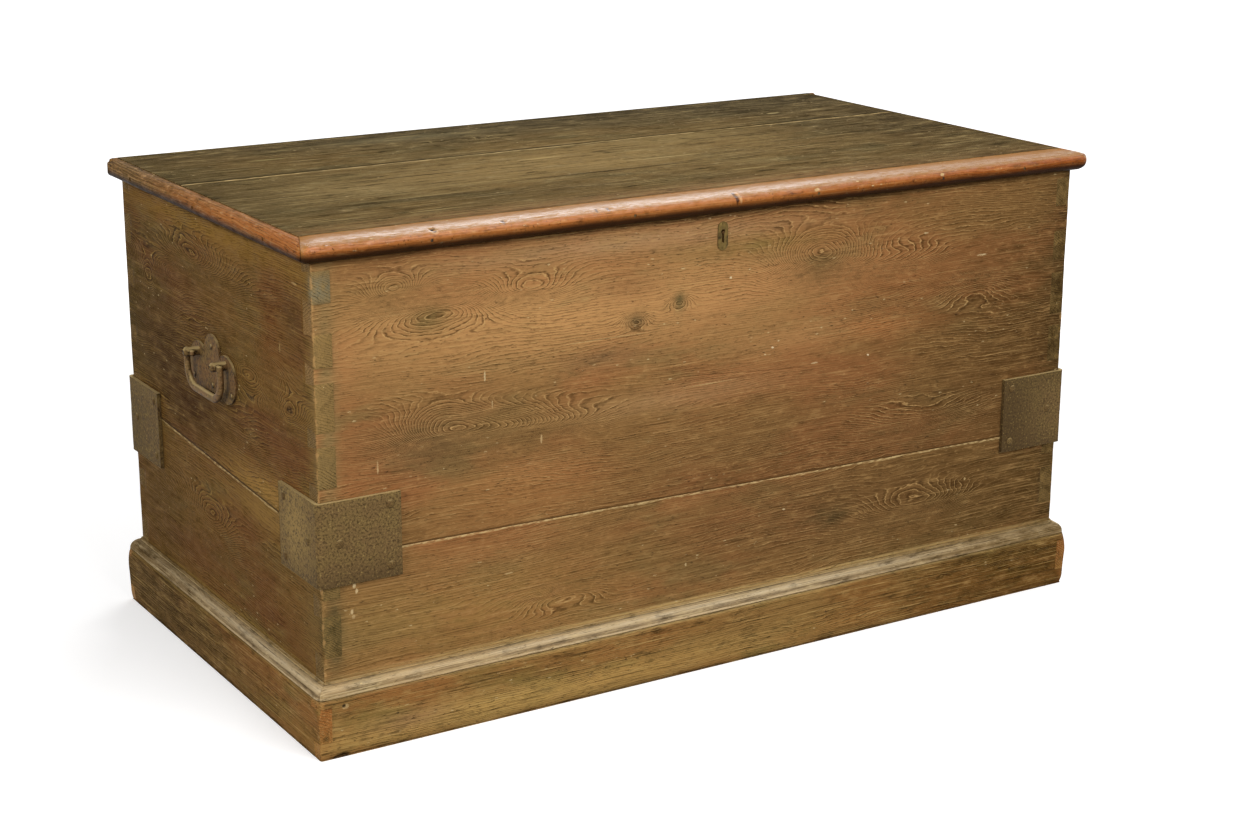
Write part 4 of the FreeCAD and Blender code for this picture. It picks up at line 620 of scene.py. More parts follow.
class CHEST_OT_carcase(bpy.types.Operator):
    """Dress the eight boards of the carcase in worn, oiled pine"""

    bl_idname = "chest.carcase"
    bl_label = "Carcase"

    def execute(self, context):
        front = (LOOKS.front, LOOKS.front_warm, LOOKS.front_olive, "#3c2710", "#bb9660")
        end = (LOOKS.end, "#694425", "#66522b", "#24170a", "#9c7c42")
        # Painted shadow of the lid's overhang, along the top of the boards
        painted_lid_shadow = ((0, 622), (700, 6), "#3a2710", 0.85)
        above_foot = ((0, 99), (700, 2.6), "#b89c66", 0.8)
        end_corner = ((-313, 360), (9, 40), "#7c6640", 0.85)
        end_foot = ((0, 99), (340, 2.6), "#8f743f", 0.7)
        front_knots = (
            ((-482, 576), (34, 20), 52.0), ((-425, 545), (88, 28), -58.0),
            ((-300, 560), (60, 20), 40.0), ((-141, 497), (20, 10), -26.0),
            ((-419, 392), (70, 34), 84.0), ((-330, 386), (70, 26), 62.0),
            ((-250, 377), (80, 16), 26.0), ((151, 545), (74, 34), 92.0),
            ((279, 531), (80, 20), 34.0), ((-74, 513), (18, 10), -20.0),
            ((420, 470), (60, 24), -30.0), ((330, 300), (110, 22), 26.0),
        )
        front_stains_and_painted_light = (
            # Painted pool of light, high on the left of the front
            ((-200, 520), (420, 62), "#bb8b57", 0.85),
            # Painted shade, darker towards the right
            ((560, 340), (270, 330), "#4c3418", 0.88),
            ((150, 240), (440, 120), "#634426", 0.7),
            ((-300, 285), (130, 38), "#99683c", 0.6),
            ((330, 606), (330, 34), "#765530", 0.6),
            ((-436, 538), (28, 16), "#5c4f2c", 0.85),
            ((-151, 545), (60, 24), "#855a36", 0.5),
            ((151, 538), (40, 20), "#5b482a", 0.75),
            ((-141, 495), (14, 11), "#55452c", 0.85),
            ((-74, 513), (9, 13), "#474a2e", 0.8),
            ((-420, 400), (120, 34), "#735d38", 0.6),
            ((-445, 372), (60, 30), "#684e31", 0.6),
            ((60, 575), (90, 14), "#766334", 0.6),
            ((-190, 455), (60, 14), "#6a5236", 0.6),
            ((280, 480), (120, 50), "#84532e", 0.5),
            painted_lid_shadow,
            # Painted shade down the right edge
            ((600, 420), (42, 330), "#33240f", 0.9),
            ((-574, 450), (13, 190), "#846b43", 1.0),
            ((100, 442), (110, 22), "#a87a4c", 0.6),
            ((250, 440), (60, 16), "#a36c3e", 0.5),
            ((-80, 386), (150, 16), "#a07b52", 0.6),
            ((-330, 318), (100, 16), "#a07243", 0.55),
            ((-150, 600), (250, 14), "#a9845c", 0.7),
            ((-150, 98), (620, 9), "#c4aa7c", 0.6),
        )
        front_marks = (
            ((-361, 455), (1.2, 7), "#ccb68a", 0.65),
            ((-351, 417), (1, 5), "#c6ac7c", 0.6),
            ((-281, 361), (1.5, 6), "#c6a878", 0.6),
            ((-510, 361), (1.1, 8), "#c6a878", 0.55),
            ((75, 432), (2, 1.4), "#dccaa4", 0.75),
            ((84, 440), (1.4, 1.1), "#d6c297", 0.65),
            ((63, 424), (1.6, 1.1), "#ceb88c", 0.65),
            ((145, 401), (6, 1), "#ceb88c", 0.6),
            ((236, 400), (1.8, 1.5), "#dccaa4", 0.75),
            ((432, 518), (9, 1.1), "#d0b98c", 0.65),
            ((5, 536), (2, 1.5), "#d8c69e", 0.75),
            ((-19, 397), (36, 1), "#b99a68", 0.5),
            ((-186, 479.2), (62, 0.9), "#b99a68", 0.55),
            ((330, 560), (4, 1.2), "#ccb68a", 0.5),
        )
        lower_stains_and_painted_shade = (
            ((-380, 150), (240, 60), "#93723f", 0.75),
            ((-360, 222), (130, 18), "#94633a", 0.6),
            # Painted shade, darker towards the right
            ((560, 170), (330, 170), "#4c3719", 0.88),
            ((150, 190), (300, 70), "#634628", 0.7),
            ((180, 175), (40, 18), "#463a22", 0.7),
            ((-574, 160), (13, 62), "#584b2e", 1.0),
            # Painted shade down the right edge
            ((592, 180), (30, 140), "#342710", 0.8),
            above_foot,
        )
        lower_marks = (
            ((-546, 216), (2.4, 3.8), "#d4bd90", 0.75),
            ((-543, 208), (1.8, 3.4), "#cdb385", 0.7),
            ((-550, 182), (1.9, 3.4), "#cdb385", 0.7),
            ((-548, 175), (2.3, 2.6), "#c8ad7e", 0.65),
            ((-330, 190), (6, 1.1), "#c6aa78", 0.55),
            ((100, 200), (2, 1.4), "#ceb88c", 0.6),
            ((-60, 150), (1.5, 2.5), "#c9b182", 0.6),
            ((420, 190), (2, 2), "#c0a370", 0.6),
        )
        end_stains = (
            ((0, 606), (500, 17), "#8b672f", 0.85),
            ((-20, 545), (200, 16), "#5f4422", 0.6),
            ((-255, 542), (34, 28), "#4f371b", 0.75),
            ((160, 400), (200, 110), "#422b12", 0.94),
            ((70, 352), (90, 34), "#3c240e", 0.8),
            ((310, 430), (70, 190), "#453616", 0.75),
            ((-190, 515), (40, 60), "#6c4020", 0.65),
            ((-150, 300), (130, 24), "#a07a40", 0.85),
            ((-300, 420), (14, 200), "#7c6235", 0.5),
            ((-15, 425), (62, 48), "#4b3417", 0.65),
            ((-313, 592), (9, 20), "#7a745c", 0.85),
            ((-313, 480), (9, 60), "#8a6f44", 0.85),
            end_corner,
            # Painted shadow of the lid's overhang along the top
            ((0, 622), (700, 5), "#2f200c", 0.85),
        )
        end_marks = (
            ((-215, 500), (1.6, 6), "#b89960", 0.55),
            ((-120, 372), (6, 1.1), "#b0915a", 0.5),
            ((120, 330), (2.4, 1.6), "#a88a54", 0.5),
            ((-265, 590), (8, 1.5), "#b89c68", 0.5),
        )
        end_knots = (
            ((223, 490), (70, 44), 90.0), ((-119, 452), (90, 34), -76.0),
            ((-230, 420), (60, 30), 52.0), ((60, 560), (110, 26), 50.0),
        )
        lower_end_stains = (
            end_foot,
            ((-290, 180), (30, 90), "#7c633a", 0.6),
            ((-60, 190), (130, 50), "#6b4524", 0.5),
            ((-150, 268), (130, 20), "#8f6e3a", 0.8),
            ((240, 180), (120, 130), "#573f1d", 0.8),
            ((-313, 165), (9, 50), "#5a4d2e", 0.85),
        )
        # Painted shade down the right end's front edge, at the front's right corner
        painted_right_edge_shade = ((-313, 400), (9, 420), "#3f2f18", 0.9)
        long_seam = (*seam_line("front_board_lower", "front_board_upper", HALF_WIDE, 2, -1), 1.3)
        end_seam = (*seam_line("left_end_lower", "left_end_upper", HALF_DEEP, 2), 1.5)
        back_knots = (((200, 450), (80, 28), 60.0), ((-330, 520), (70, 24), -44.0))
        low_knots = (((330, 170), (90, 24), 40.0), ((-250, 140), (60, 18), -28.0))
        end_low_knots = (((40, 200), (90, 36), 60.0),)
        boards = {
            "front_board_upper": (front, front_knots, front_stains_and_painted_light, front_marks, 0.012, 0.0, 1.15),
            "front_board_lower": (front, low_knots, lower_stains_and_painted_shade, lower_marks, -0.02, 31.0, 1.05),
            "back_board_upper": (front, back_knots, (painted_lid_shadow,), (), 0.01, 57.0, 1.0),
            "back_board_lower": (front, low_knots[:1], (above_foot,), (), -0.01, 83.0, 0.9),
            "left_end_upper": (end, end_knots, end_stains, end_marks, 0.05, 11.0, 1.35),
            "left_end_lower": (end, end_low_knots, lower_end_stains, (), -0.03, 23.0, 1.25),
            "right_end_upper": (end, end_knots[:2], (end_corner, painted_right_edge_shade), (), 0.05, 91.0,
                                0.95),
            "right_end_lower": (end, end_low_knots, (end_foot, painted_right_edge_shade), (), -0.03,
                                97.0, 0.85),
        }
        materials = {}
        for node, (tones, knots, stains, marks, tilt, shift, figure) in boards.items():
            is_long = "board" in node
            materials[node] = pine(f"oiled_pine_{node}", "XZY" if is_long else "YZX", tones,
                                   knots, stains, marks, tilt=tilt, shift=shift, figure=figure,
                                   sheen=0.03 if is_long else 0.02,
                                   seam=long_seam if is_long else end_seam, carcase=True,
                                   butt=("#5f4a2b", "#45341c", "#745b35") if is_long
                                   else ("#8c7045", "#75603a", "#997e4f"))
        for node, material in materials.items():
            low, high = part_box(node)
            long_axis = 0 if "board" in node else 1
            half = (HALF_WIDE, HALF_DEEP)[long_axis]
            fine = 0.004 if node == "front_board_upper" else 0.012
            across = steps(low.z, high.z, 0.008)
            if node == "front_board_upper":
                for (x_low, z_low), (x_high, z_high) in SPLITS:
                    bottom = min(z_low, z_high) - 0.0016
                    top = max(z_low, z_high) + 0.0016
                    across += steps(bottom, top, 0.0006)
            cuts = (
                (2, across),
                (long_axis, steps(-half + 0.0085, half - 0.0085, fine)),
                (0, corner_cuts(HALF_WIDE)),
                (1, corner_cuts(HALF_DEEP)),
            )
            carved(node, material, WEAR.joint_edge, cuts, worn_carcase, skin=outside)
        return {"FINISHED"}


class CHEST_OT_bottom(bpy.types.Operator):
    """Give the bottom boards their dry pine"""

    bl_idname = "chest.bottom"
    bl_label = "Bottom boards"

    def execute(self, context):
        dry = ("#9b7c52", "#a8865a", "#8a7350", "#5f4a30", "#c0a47a")
        material = pine("dry_pine_bottom", "XYZ", dry, spacing=5.5, shift=41.0, gloss=0.75)
        for number in range(1, 5):
            carved(f"bottom_board_{number}", material, WEAR.joint_edge)
        return {"FINISHED"}


# Nibbles at the foot of the plinth's front: place, half width and depth, in metres
NIBBLES = ((-0.572, 0.010, 0.0035), (-0.52, 0.006, 0.002), (-0.31, 0.012, 0.0015),
           (-0.08, 0.008, 0.002), (0.21, 0.012, 0.0015), (0.46, 0.008, 0.002))

# A nail hole in the plinth's front: place, height and radius, in metres
NAIL_HOLE = (-0.573, 0.069, 0.0024)

# How far the plinth stands out at its foot and top, and the moulding at its top
FOOT_OUT = 0.016
PLINTH_OUT = 0.019
RAIL_OUT = 0.005

# The moulding's quarter round: its radius, its height above the plinth, its worn corner
RAIL_ROUND = 0.012
RAIL_RISE = 0.0025
RAIL_CORNER = 0.014


def worn_plinth(place, normal):
    """Wear of the plinth: knocked corners, a chewed foot and hollows along the faces."""
    if abs(place.x) < HALF_WIDE + 0.001 and abs(place.y) < HALF_DEEP + 0.001:
        return place
    flat = Vector((normal.x, normal.y, 0.0))
    low = max(0.0, 1 - place.z / 0.012)
    if flat.length > 0.5:
        depth = 0.0004 * (2 + hollow(place, 0.07, 7.0)) + 0.0002 * hollow(place, 0.02, 8.0)
        depth += low * low * 0.0022 * (1 + hollow(Vector((place.x, place.y, 0.0)), 0.03, 9.0))
        if PLINTH_TOP - 0.003 < place.z < PLINTH_TOP + 0.0001:
            depth += 0.0011
        if flat.y < 0:
            for x, wide, bite in NIBBLES:
                near = max(0.0, 1 - ((place.x - x) / wide) ** 2)
                depth += bite * near * max(0.0, 1 - place.z / 0.007)
            x, z, radius = NAIL_HOLE
            depth += 0.003 * max(0.0, 1 - math.hypot(place.x - x, place.z - z) / radius)
        way = Vector((math.copysign(flat.x, place.x), math.copysign(flat.y, place.y), 0.0))
        place -= way.normalized() * depth
    out = FOOT_OUT + (PLINTH_OUT - FOOT_OUT) * min(1.0, place.z / PLINTH_TOP)
    radius = 0.0045 + 0.002 * hollow(place, 0.03, 4.0) + 0.003 * low
    radius += 0.016 * max(0.0, 1 - (PLINTH_TOP - place.z) / 0.03) ** 2
    over = place.z - PLINTH_TOP
    if over > 0.0001:
        over = min(RAIL_ROUND, max(0.0, over - RAIL_RISE))
        out = RAIL_OUT + math.sqrt(RAIL_ROUND ** 2 - over ** 2)
        radius = RAIL_CORNER
    return rounded_corner(place, HALF_WIDE + out, HALF_DEEP + out, radius)


class CHEST_OT_plinth(bpy.types.Operator):
    """Dress the plinth boards and the moulding on them"""

    bl_idname = "chest.plinth"
    bl_label = "Plinth and moulding"

    def execute(self, context):
        tones = (LOOKS.plinth, "#8d6033", "#6f5f30", "#2f200d", "#b5945a")
        long_stains_and_painted_light = (
            ((-350, 22), (420, 20), "#bc9655", 0.85),
            ((-480, 30), (60, 14), "#8f6a4e", 0.5),
            ((-200, 64), (240, 12), "#8c5a2e", 0.5),
            # Painted shade, darker towards the right
            ((540, 45), (270, 90), "#50360f", 0.9),
            # Painted highlight along the plinth's top edge
            ((0, 78.5), (700, 1.6), "#bfa36c", 0.75),
            ((-602, 38), (13, 60), "#a3733f", 0.65),
            ((603, 42), (8, 60), "#8c5a2d", 0.7),
            ((0, 0), (700, 3), "#2a1c0c", 0.7),
        )
        end_stains = (
            ((-260, 22), (120, 20), "#8f6c38", 0.7),
            ((200, 40), (330, 90), "#4c3719", 0.92),
            # Painted highlight along the plinth's top edge
            ((0, 78.5), (700, 1.6), "#957b4a", 0.6),
            ((0, 0), (700, 3), "#2a1c0c", 0.7),
        )
        hole = (
            ((-571, 68), (4.6, 3.6), "#bda070", 0.6),
            ((-573, 69), (2.4, 2.4), "#1a0f06", 0.95),
            ((-577, 1), (12, 4), "#1f1409", 0.8),
        )
        tail = ("#99602f", "#54301a", "#be8a55")
        long_wood = pine("oiled_pine_plinth", "XZY", tones, (), long_stains_and_painted_light, hole, shift=67.0,
                         figure=1.3, gloss=0.55, streaks=1.9, blotch=1.9, relief=1.5,
                         spacing=3.0, butt=tail, sheen=0.03)
        end_wood = pine("oiled_pine_plinth_end", "YZX", tones, (), end_stains, shift=71.0,
                        figure=1.0, gloss=0.6, streaks=1.6, blotch=1.6, butt=tail, sheen=0.02)
        rail = ("#a58b60", "#a88a5c", "#8d7a50", "#3a2910", "#cfb88c")

        # Wear and painted light on the moulding: a worn lower edge with a painted highlight,
        # painted shade low on its round and in its two grooves, a painted highlight high on its
        # round, and a pale top fillet
        rail_wear_and_painted_light = (
            ((0, 82), (700, 1.6), "#dcc29a", 0.85),
            ((0, 86.2), (700, 2.3), "#75624a", 0.9),
            ((0, 91), (700, 2.8), "#cfbd9d", 0.7),
            ((0, 79.4), (700, 1.1), "#46330f", 0.9),
            ((0, 94.4), (700, 0.6), "#5a4722", 0.6),
            ((0, 96.6), (700, 1), "#b79b68", 0.8),
        )
        shade = (((560, 88), (280, 60), "#6b5430", 0.75),
                 ((260, 88), (280, 60), "#6b5430", 0.75))
        long_rail = pine("oiled_pine_moulding", "XZY", rail, (), (*rail_wear_and_painted_light, shade[0]),
                         shift=73.0, figure=0.5, gloss=0.5, sheen=0.05, relief=1.6, blotch=2.0,
                         streaks=1.5, specks=2.0)
        end_rail = pine("oiled_pine_moulding_end", "YZX", rail, (), (*rail_wear_and_painted_light, shade[1]),
                        shift=79.0, figure=0.5, gloss=0.55, sheen=0.03, relief=1.6, blotch=2.0,
                        streaks=1.5)
        for side in ("front", "back", "left", "right"):
            is_long = side in ("front", "back")
            axis = 0 if is_long else 1
            for node, material in ((f"plinth_{side}", long_wood if is_long else end_wood),
                                   (f"plinth_moulding_{side}", long_rail if is_long
                                    else end_rail)):
                low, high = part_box(node)
                near = (0.0085, 0.011, 0.013, 0.0145, 0.0157, 0.0167, 0.0178)
                cuts = [(axis, steps(low[axis], high[axis], 0.012)),
                        (0, [sign * (HALF_WIDE + out) for sign in (-1, 1) for out in near]),
                        (1, [sign * (HALF_DEEP + out) for sign in (-1, 1) for out in near])]
                if "moulding" not in node:
                    cuts.append((2, steps(0.0, PLINTH_TOP - 0.004, 0.004)))
                if node == "plinth_front":
                    x, z, radius = NAIL_HOLE
                    around = [share * radius for share in (-1.0, -0.6, -0.25, 0.25, 0.6, 1.0)]
                    cuts += [(0, [x + off for off in around]), (2, [z + off for off in around])]
                carved(node, material, 0.0004, cuts, worn_plinth)
        return {"FINISHED"}


# Outer faces of the nosing
NOSE_X = LID_HIGH.x
NOSE_Y = -LID_LOW.y

# Dents in the front nosing: place along it, size, angle up the round in degrees, and depth
DENTS = ((-0.4335, 0.0048, 84.0, 0.005), (0.128, 0.004, 22.0, 0.0022),
         (0.339, 0.004, 22.0, 0.0022), (0.0025, 0.0055, 52.0, 0.0022),
         (-0.189, 0.005, 80.0, 0.0014), (-0.3385, 0.005, 80.0, 0.0012),
         (-0.206, 0.004, 70.0, 0.001), (0.22, 0.006, 60.0, 0.0009))

# Radii of the nosing's round and of its two front corners
NOSE_ROUND = (LID_HIGH.z - LID_LOW.z) * 0.486
NOSE_CORNER = 0.0095


def worn_nosing(place, normal):
    """Wear of the nosing: handled smooth, dented and nicked along its round."""
    round_part = max(abs(normal.x), abs(normal.y)) > 0.15
    depth = 0.0005 + 0.0003 * hollow(place, 0.06, 11.0) + 0.00018 * hollow(place, 0.014, 12.0)
    if not round_part:
        depth = 0.0002 * (1 + hollow(place, 0.05, 13.0))
    nick = hollow(place, 0.006, 15.0)
    if round_part and nick > 0.42:
        depth += (nick - 0.42) * 0.0026
    if place.y < 0.02 - NOSE_Y:
        for x, size, degrees, bite in DENTS:
            turn = math.radians(degrees)
            middle = (x, NOSE_ROUND * (1 - math.cos(turn)) - NOSE_Y,
                      LID_HIGH.z - NOSE_ROUND * (1 - math.sin(turn)))
            off = math.dist(place, middle) / size
            depth += bite * max(0.0, 1 - off * off)
    if abs(normal.z) > 0.98 and place.z < LID_LOW.z + 0.002:
        return rounded_corner(place, NOSE_X, NOSE_Y, NOSE_CORNER)
    place = place - normal.normalized() * depth
    inward = min(NOSE_X - abs(place.x), NOSE_Y - abs(place.y))
    if place.z > LID_HIGH.z - 0.004 and place.y < 0.32:
        off = min(1.0, max(0.0, (0.034 - inward) / 0.022))
        place.z -= 0.0017 * off * off
    return rounded_corner(place, NOSE_X, NOSE_Y, NOSE_CORNER)


def worn_lid_board(place, normal):
    """Wear of the lid boards: slightly hollow on top."""
    if normal.z > 0.7:
        depth = 0.0005 * (0.6 + 0.3 * hollow(place, 0.12, 21.0) + 0.2 * hollow(place, 0.03, 22.0))
        place.z -= depth
    return place


class CHEST_OT_lid(bpy.types.Operator):
    """Dress the lid: two dark boards, a worn orange nosing and the battens"""

    bl_idname = "chest.lid"
    bl_label = "Lid"

    def execute(self, context):
        top = (LOOKS.lid, "#6c5530", "#54492b", "#1f180b", "#a89262")
        top_stains_and_painted_light = (
            # Painted sheen, paler in the middle of the lid
            ((-60, -20), (340, 100), "#997d4e", 0.85),
            ((-400, -60), (100, 50), "#937b50", 0.75),
            ((150, 60), (130, 34), "#8f794d", 0.6),
            ((0, -282), (800, 34), "#97704a", 0.8),
            ((480, -270), (300, 60), "#6b5130", 0.7),
            ((-180, -190), (280, 34), "#5f4c2c", 0.7),
            # Painted shade, darker towards the right
            ((600, 40), (270, 340), "#3d301c", 0.92),
            # Painted shade, darker towards the back
            ((0, 300), (800, 90), "#3f3624", 0.9),
            # Painted shade at the back right
            ((450, 285), (280, 100), "#352c1c", 0.7),
            ((-570, 60), (90, 260), "#4f4127", 0.7),
            ((-180, 262), (120, 20), "#7a6f50", 0.7),
        )
        top_marks = (
            ((-350, -140), (50, 2.2), "#ad9662", 0.45),
            ((-240, -95), (90, 2.6), "#a8915e", 0.4),
            ((60, -60), (60, 3.4), "#b9a06a", 0.5),
            ((-90, 20), (40, 4), "#b9a06a", 0.5),
            ((120, -190), (34, 3.4), "#ad9662", 0.5),
            ((420, 180), (12, 4), "#b9a572", 0.6),
            ((-420, 200), (30, 4), "#8f8052", 0.6),
            ((-60, -110), (160, 3), "#241a0a", 0.7),
            ((260, 40), (90, 3), "#261c0c", 0.6),
            ((-300, -10), (110, 3), "#261c0c", 0.6),
            ((-380, -150), (130, 7), "#2c2110", 0.5),
        )
        lid_seam = (*seam_line("lid_board_front", "lid_board_back", HALF_WIDE, 1), 3.2)
        worn_top = dict(lid=True, spacing=6.0, gloss=0.7, sheen=0.004, swirl=40.0, streaks=2.4,
                        seam=lid_seam, blotch=2.2, mottle_mm=(44.0, 16.0), relief=1.8,
                        pore_mm=(22.0, 3.4), specks=1.5)
        front_board = pine("worn_pine_lid_front", "XYZ", top, (), top_stains_and_painted_light, top_marks,
                           shift=5.0, **worn_top)
        back_board = pine("worn_pine_lid_back", "XYZ", top,
                          (((-120, 200), (60, 20), 30.0),), top_stains_and_painted_light, top_marks,
                          shift=15.0, **worn_top)
        edge = (LOOKS.nosing, "#a95a22", "#80491a", "#341607", "#cf9a5e")
        middle = (LID_LOW.z + LID_HIGH.z) / 2 / MM
        edge_stains = (
            ((-606, 638), (24, 40), "#bd6f3c", 0.7),
            ((560, 638), (300, 60), "#8a481a", 0.7),
            ((-250, 640), (330, 60), "#b07038", 0.5),
        )
        edge_marks = (
            ((-433.5, 648.8), (5.8, 4.2), "#cda477", 0.6),
            ((-433.5, 649.2), (4.2, 3), "#170b04", 0.97),
            ((128, 643), (4, 2.2), "#d0b480", 0.65),
            ((339, 643), (3.2, 2.2), "#d0b480", 0.65),
            ((0, 645), (2.6, 8), "#3a1c0c", 0.85),
            ((6, 644), (2, 7), "#c99a66", 0.7),
            ((-189, 649), (2.2, 2.6), "#3a1c0c", 0.85),
            ((-206, 649), (1.9, 2.6), "#3a1c0c", 0.85),
            ((-338.5, 649), (2.6, 3), "#3a1c0c", 0.85),
        )
        front_edge = pine("polished_pine_nosing", "XZY", edge, (), edge_stains, edge_marks,
                          lid=True, spacing=4.2, shift=19.0, figure=0.5, gloss=0.4,
                          sheen=0.02, specks=1.8, blotch=1.7, pore_mm=(2.2, 4.0),
                          # Painted shade below the middle of the round
                          mottle_mm=(20.0, 8.0), relief=2.4, painted_under_shade=(middle - 7.0, middle + 6.0),
                          rub=(NOSE_Y / MM, "#9b7038", 1.0, 9.0),
                          polish=(middle + 1.0, middle + 8.0, 1.0),
                          butt=("#a55a28", "#5a2c12", "#cf9060"))
        worn_edge = ("#955f2d", "#a5632e", "#6f4c22", "#2a1608", "#c39a62")
        end_stains = (((0, 650), (340, 3), "#7d5b2c", 0.5),
                      ((230, 638), (190, 60), "#5f4824", 0.85),
                      ((-290, 638), (70, 60), "#a8622e", 0.6))
        end_edge = pine("polished_pine_nosing_end", "YZX", worn_edge, (), end_stains, (),
                        spacing=4.2, shift=29.0, figure=0.9, gloss=0.5, sheen=0.03, relief=2.0,
                        streaks=1.2, blotch=2.4, mottle_mm=(15.0, 7.0), pore_mm=(3.0, 3.0),
                        # Painted shade below the middle of the round
                        specks=2.4, painted_under_shade=(middle - 7.0, middle + 5.0),
                        rub=(NOSE_X / MM, "#4f4020", 12.5, 29.5),
                        butt=("#6b4a26", "#35200f", "#a07a48"))
        dry = (LOOKS.inside, "#9d7b50", "#8a7350", "#5f4a30", "#c0a47a")
        batten = pine("dry_pine_batten", "YXZ", dry, spacing=4.5, shift=37.0, gloss=0.7)
        grid = {"lid_board_front": (front_board, 0, 0.016, 0.012),
                "lid_board_back": (back_board, 0, 0.016, 0.012),
                "lid_batten_left": (batten, 1, 0.02, None),
                "lid_batten_right": (batten, 1, 0.02, None)}
        for node, (material, axis, pitch, other) in grid.items():
            low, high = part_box(node)
            cuts = [(axis, steps(low[axis], high[axis], pitch))]
            if other:
                cuts.append((1 - axis, steps(low[1 - axis], high[1 - axis], other)))
            carved(node, material, 0.0006, cuts, worn_lid_board)
        for node, material, axis in (("lid_nosing_front", front_edge, 0),
                                     ("lid_nosing_left", end_edge, 1),
                                     ("lid_nosing_right", end_edge, 1)):
            low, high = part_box(node)
            edges = (0.0006, 0.0016, 0.003, 0.0048, 0.0068, 0.0095, 0.0125, 0.016, 0.02, 0.025,
                     0.03)
            cuts = [(axis, steps(low[axis], high[axis], 0.004)),
                    (2, steps(low.z, high.z, 0.0025)),
                    (0, [sign * (NOSE_X - off) for sign in (-1, 1) for off in edges]),
                    (1, [sign * (NOSE_Y - off) for sign in (-1, 1) for off in edges])]
            if node == "lid_nosing_front":
                x, size = DENTS[0][:2]
                cuts.append((0, [x + size * at for at in (-0.9, -0.6, -0.3, 0.3, 0.6, 0.9)]))
                cuts.append((2, steps(LID_LOW.z + 0.010, LID_HIGH.z - 0.004, 0.0012)))
            carved(node, material, 0.0004, cuts, worn_nosing, turn=40.0, sharp=50.0)
        return {"FINISHED"}


def hammered(depth, wavelength, seed):
    """Wear for forged iron: shallow hollows all over, always inwards."""
    def wear(place, normal):
        amount = 0.5 + 0.35 * hollow(place, wavelength, seed)
        amount += 0.2 * hollow(place, wavelength * 0.3, seed + 1)
        return place - normal * (depth * max(0.0, amount))
    return wear


class CHEST_OT_corner_plates(bpy.types.Operator):
    """Dress the four bent corner plates and their nails in rusted iron"""

    bl_idname = "chest.corner_plates"
    bl_label = "Corner plates"

    def execute(self, context):
        half_y = HALF_DEEP / MM
        iron = rusted_iron("rusted_iron_plate", LOOKS.iron, "#98804c", "#35250f", rough=0.75, rust_and_painted_light=(
            # Painted shade over the plates' lower part
            ("XZ", (0.0, 208.0), (700.0, 27.0), "#241708", 0.95),
            # Painted highlight along the plates' upper part
            ("XZ", (0.0, 330.0), (700.0, 8.0), "#8a7344", 0.6),
            ("XZ", (490.0, 275.0), (60.0, 90.0), "#3c2b14", 0.95),
            ("XZ", (575.0, 330.0), (60.0, 18.0), "#4a3a1c", 0.7),
            ("YZ", (-half_y + 60.0, 285.0), (45.0, 60.0), "#957a48", 0.85),
            ("YZ", (half_y, 275.0), (70.0, 90.0), "#5a4824", 0.9)))
        nail_iron = rusted_iron("rusted_iron_nails", "#5f4828", "#8f7748", "#33240f", rough=0.75,
                                grain_mm=1.5)
        for side in ("left", "right"):
            for face in ("front", "back"):
                node = f"corner_plate_{face}_{side}"
                low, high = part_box(node)
                cuts = [(axis, steps(low[axis], high[axis], 0.005)) for axis in range(3)]
                carved(node, iron, 0.0011, cuts, hammered(0.0007, 0.012, 31.0), segments=2,
                       sharp=50.0)
        carved("corner_plate_nails", nail_iron, 0.0006, (), None, segments=2, sharp=50.0)
        return {"FINISHED"}


BAIL_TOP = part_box("handle_bail_left")[1].z
hammered_bar = hammered(0.0006, 0.012, 43.0)


def forged_bail(place, normal):
    """Wear of a bail: its bar is hammered, and was left thicker round its bends."""
    down = min(1.0, max(0.0, (BAIL_TOP - 0.010 - place.z) / 0.03))
    return hammered_bar(place, normal) + Vector((0.0, normal.y, normal.z)) * (0.0014 * down)


class CHEST_OT_handles(bpy.types.Operator):
    """Dress the handles' plates, bails and screws"""

    bl_idname = "chest.handles"
    bl_label = "Handles"

    def execute(self, context):
        iron = rusted_iron("rusted_iron_bail", LOOKS.handle, "#a88558", "#33220f", grain_mm=4.0,
                           rough=0.6)
        dark_iron = rusted_iron("rusted_iron_handle_plate", "#6c4f2e", "#947347", "#33220f",
                                grain_mm=4.0, rough=0.7)
        for side in ("left", "right"):
            node = f"handle_plate_{side}"
            low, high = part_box(node)
            cuts = [(axis, steps(low[axis], high[axis], 0.005)) for axis in (1, 2)]
            carved(node, dark_iron, 0.0012, cuts, hammered(0.0008, 0.014, 41.0), segments=2,
                   sharp=50.0)
            node = f"handle_bail_{side}"
            low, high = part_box(node)
            cuts = [(axis, steps(low[axis], high[axis], 0.004)) for axis in (1, 2)]
            carved(node, iron, 0.0, cuts, forged_bail, sharp=60.0)
        carved("handle_screws", dark_iron, 0.0)
        return {"FINISHED"}


class CHEST_OT_hinges(bpy.types.Operator):
    """Dress the hinges, their pins and screws"""

    bl_idname = "chest.hinges"
    bl_label = "Hinges"

    def execute(self, context):
        iron = rusted_iron("rusted_iron_hinge", "#4f3f2a", "#8d7650", "#2b2014", rough=0.6)
        steel = patinated_metal("dull_steel_screws", "#6e675c", "#3d372f", "#9a9284", 0.45, 0.9)
        for side in ("left", "right"):
            carved(f"hinge_leaf_{side}", iron, 0.0004)
            carved(f"hinge_strap_{side}", iron, 0.0006)
            carved(f"hinge_pin_{side}", steel, 0.0003)
        for node in ("hinge_leaf_screws", "hinge_strap_screws", "batten_screws"):
            carved(node, steel, 0.0)
        return {"FINISHED"}


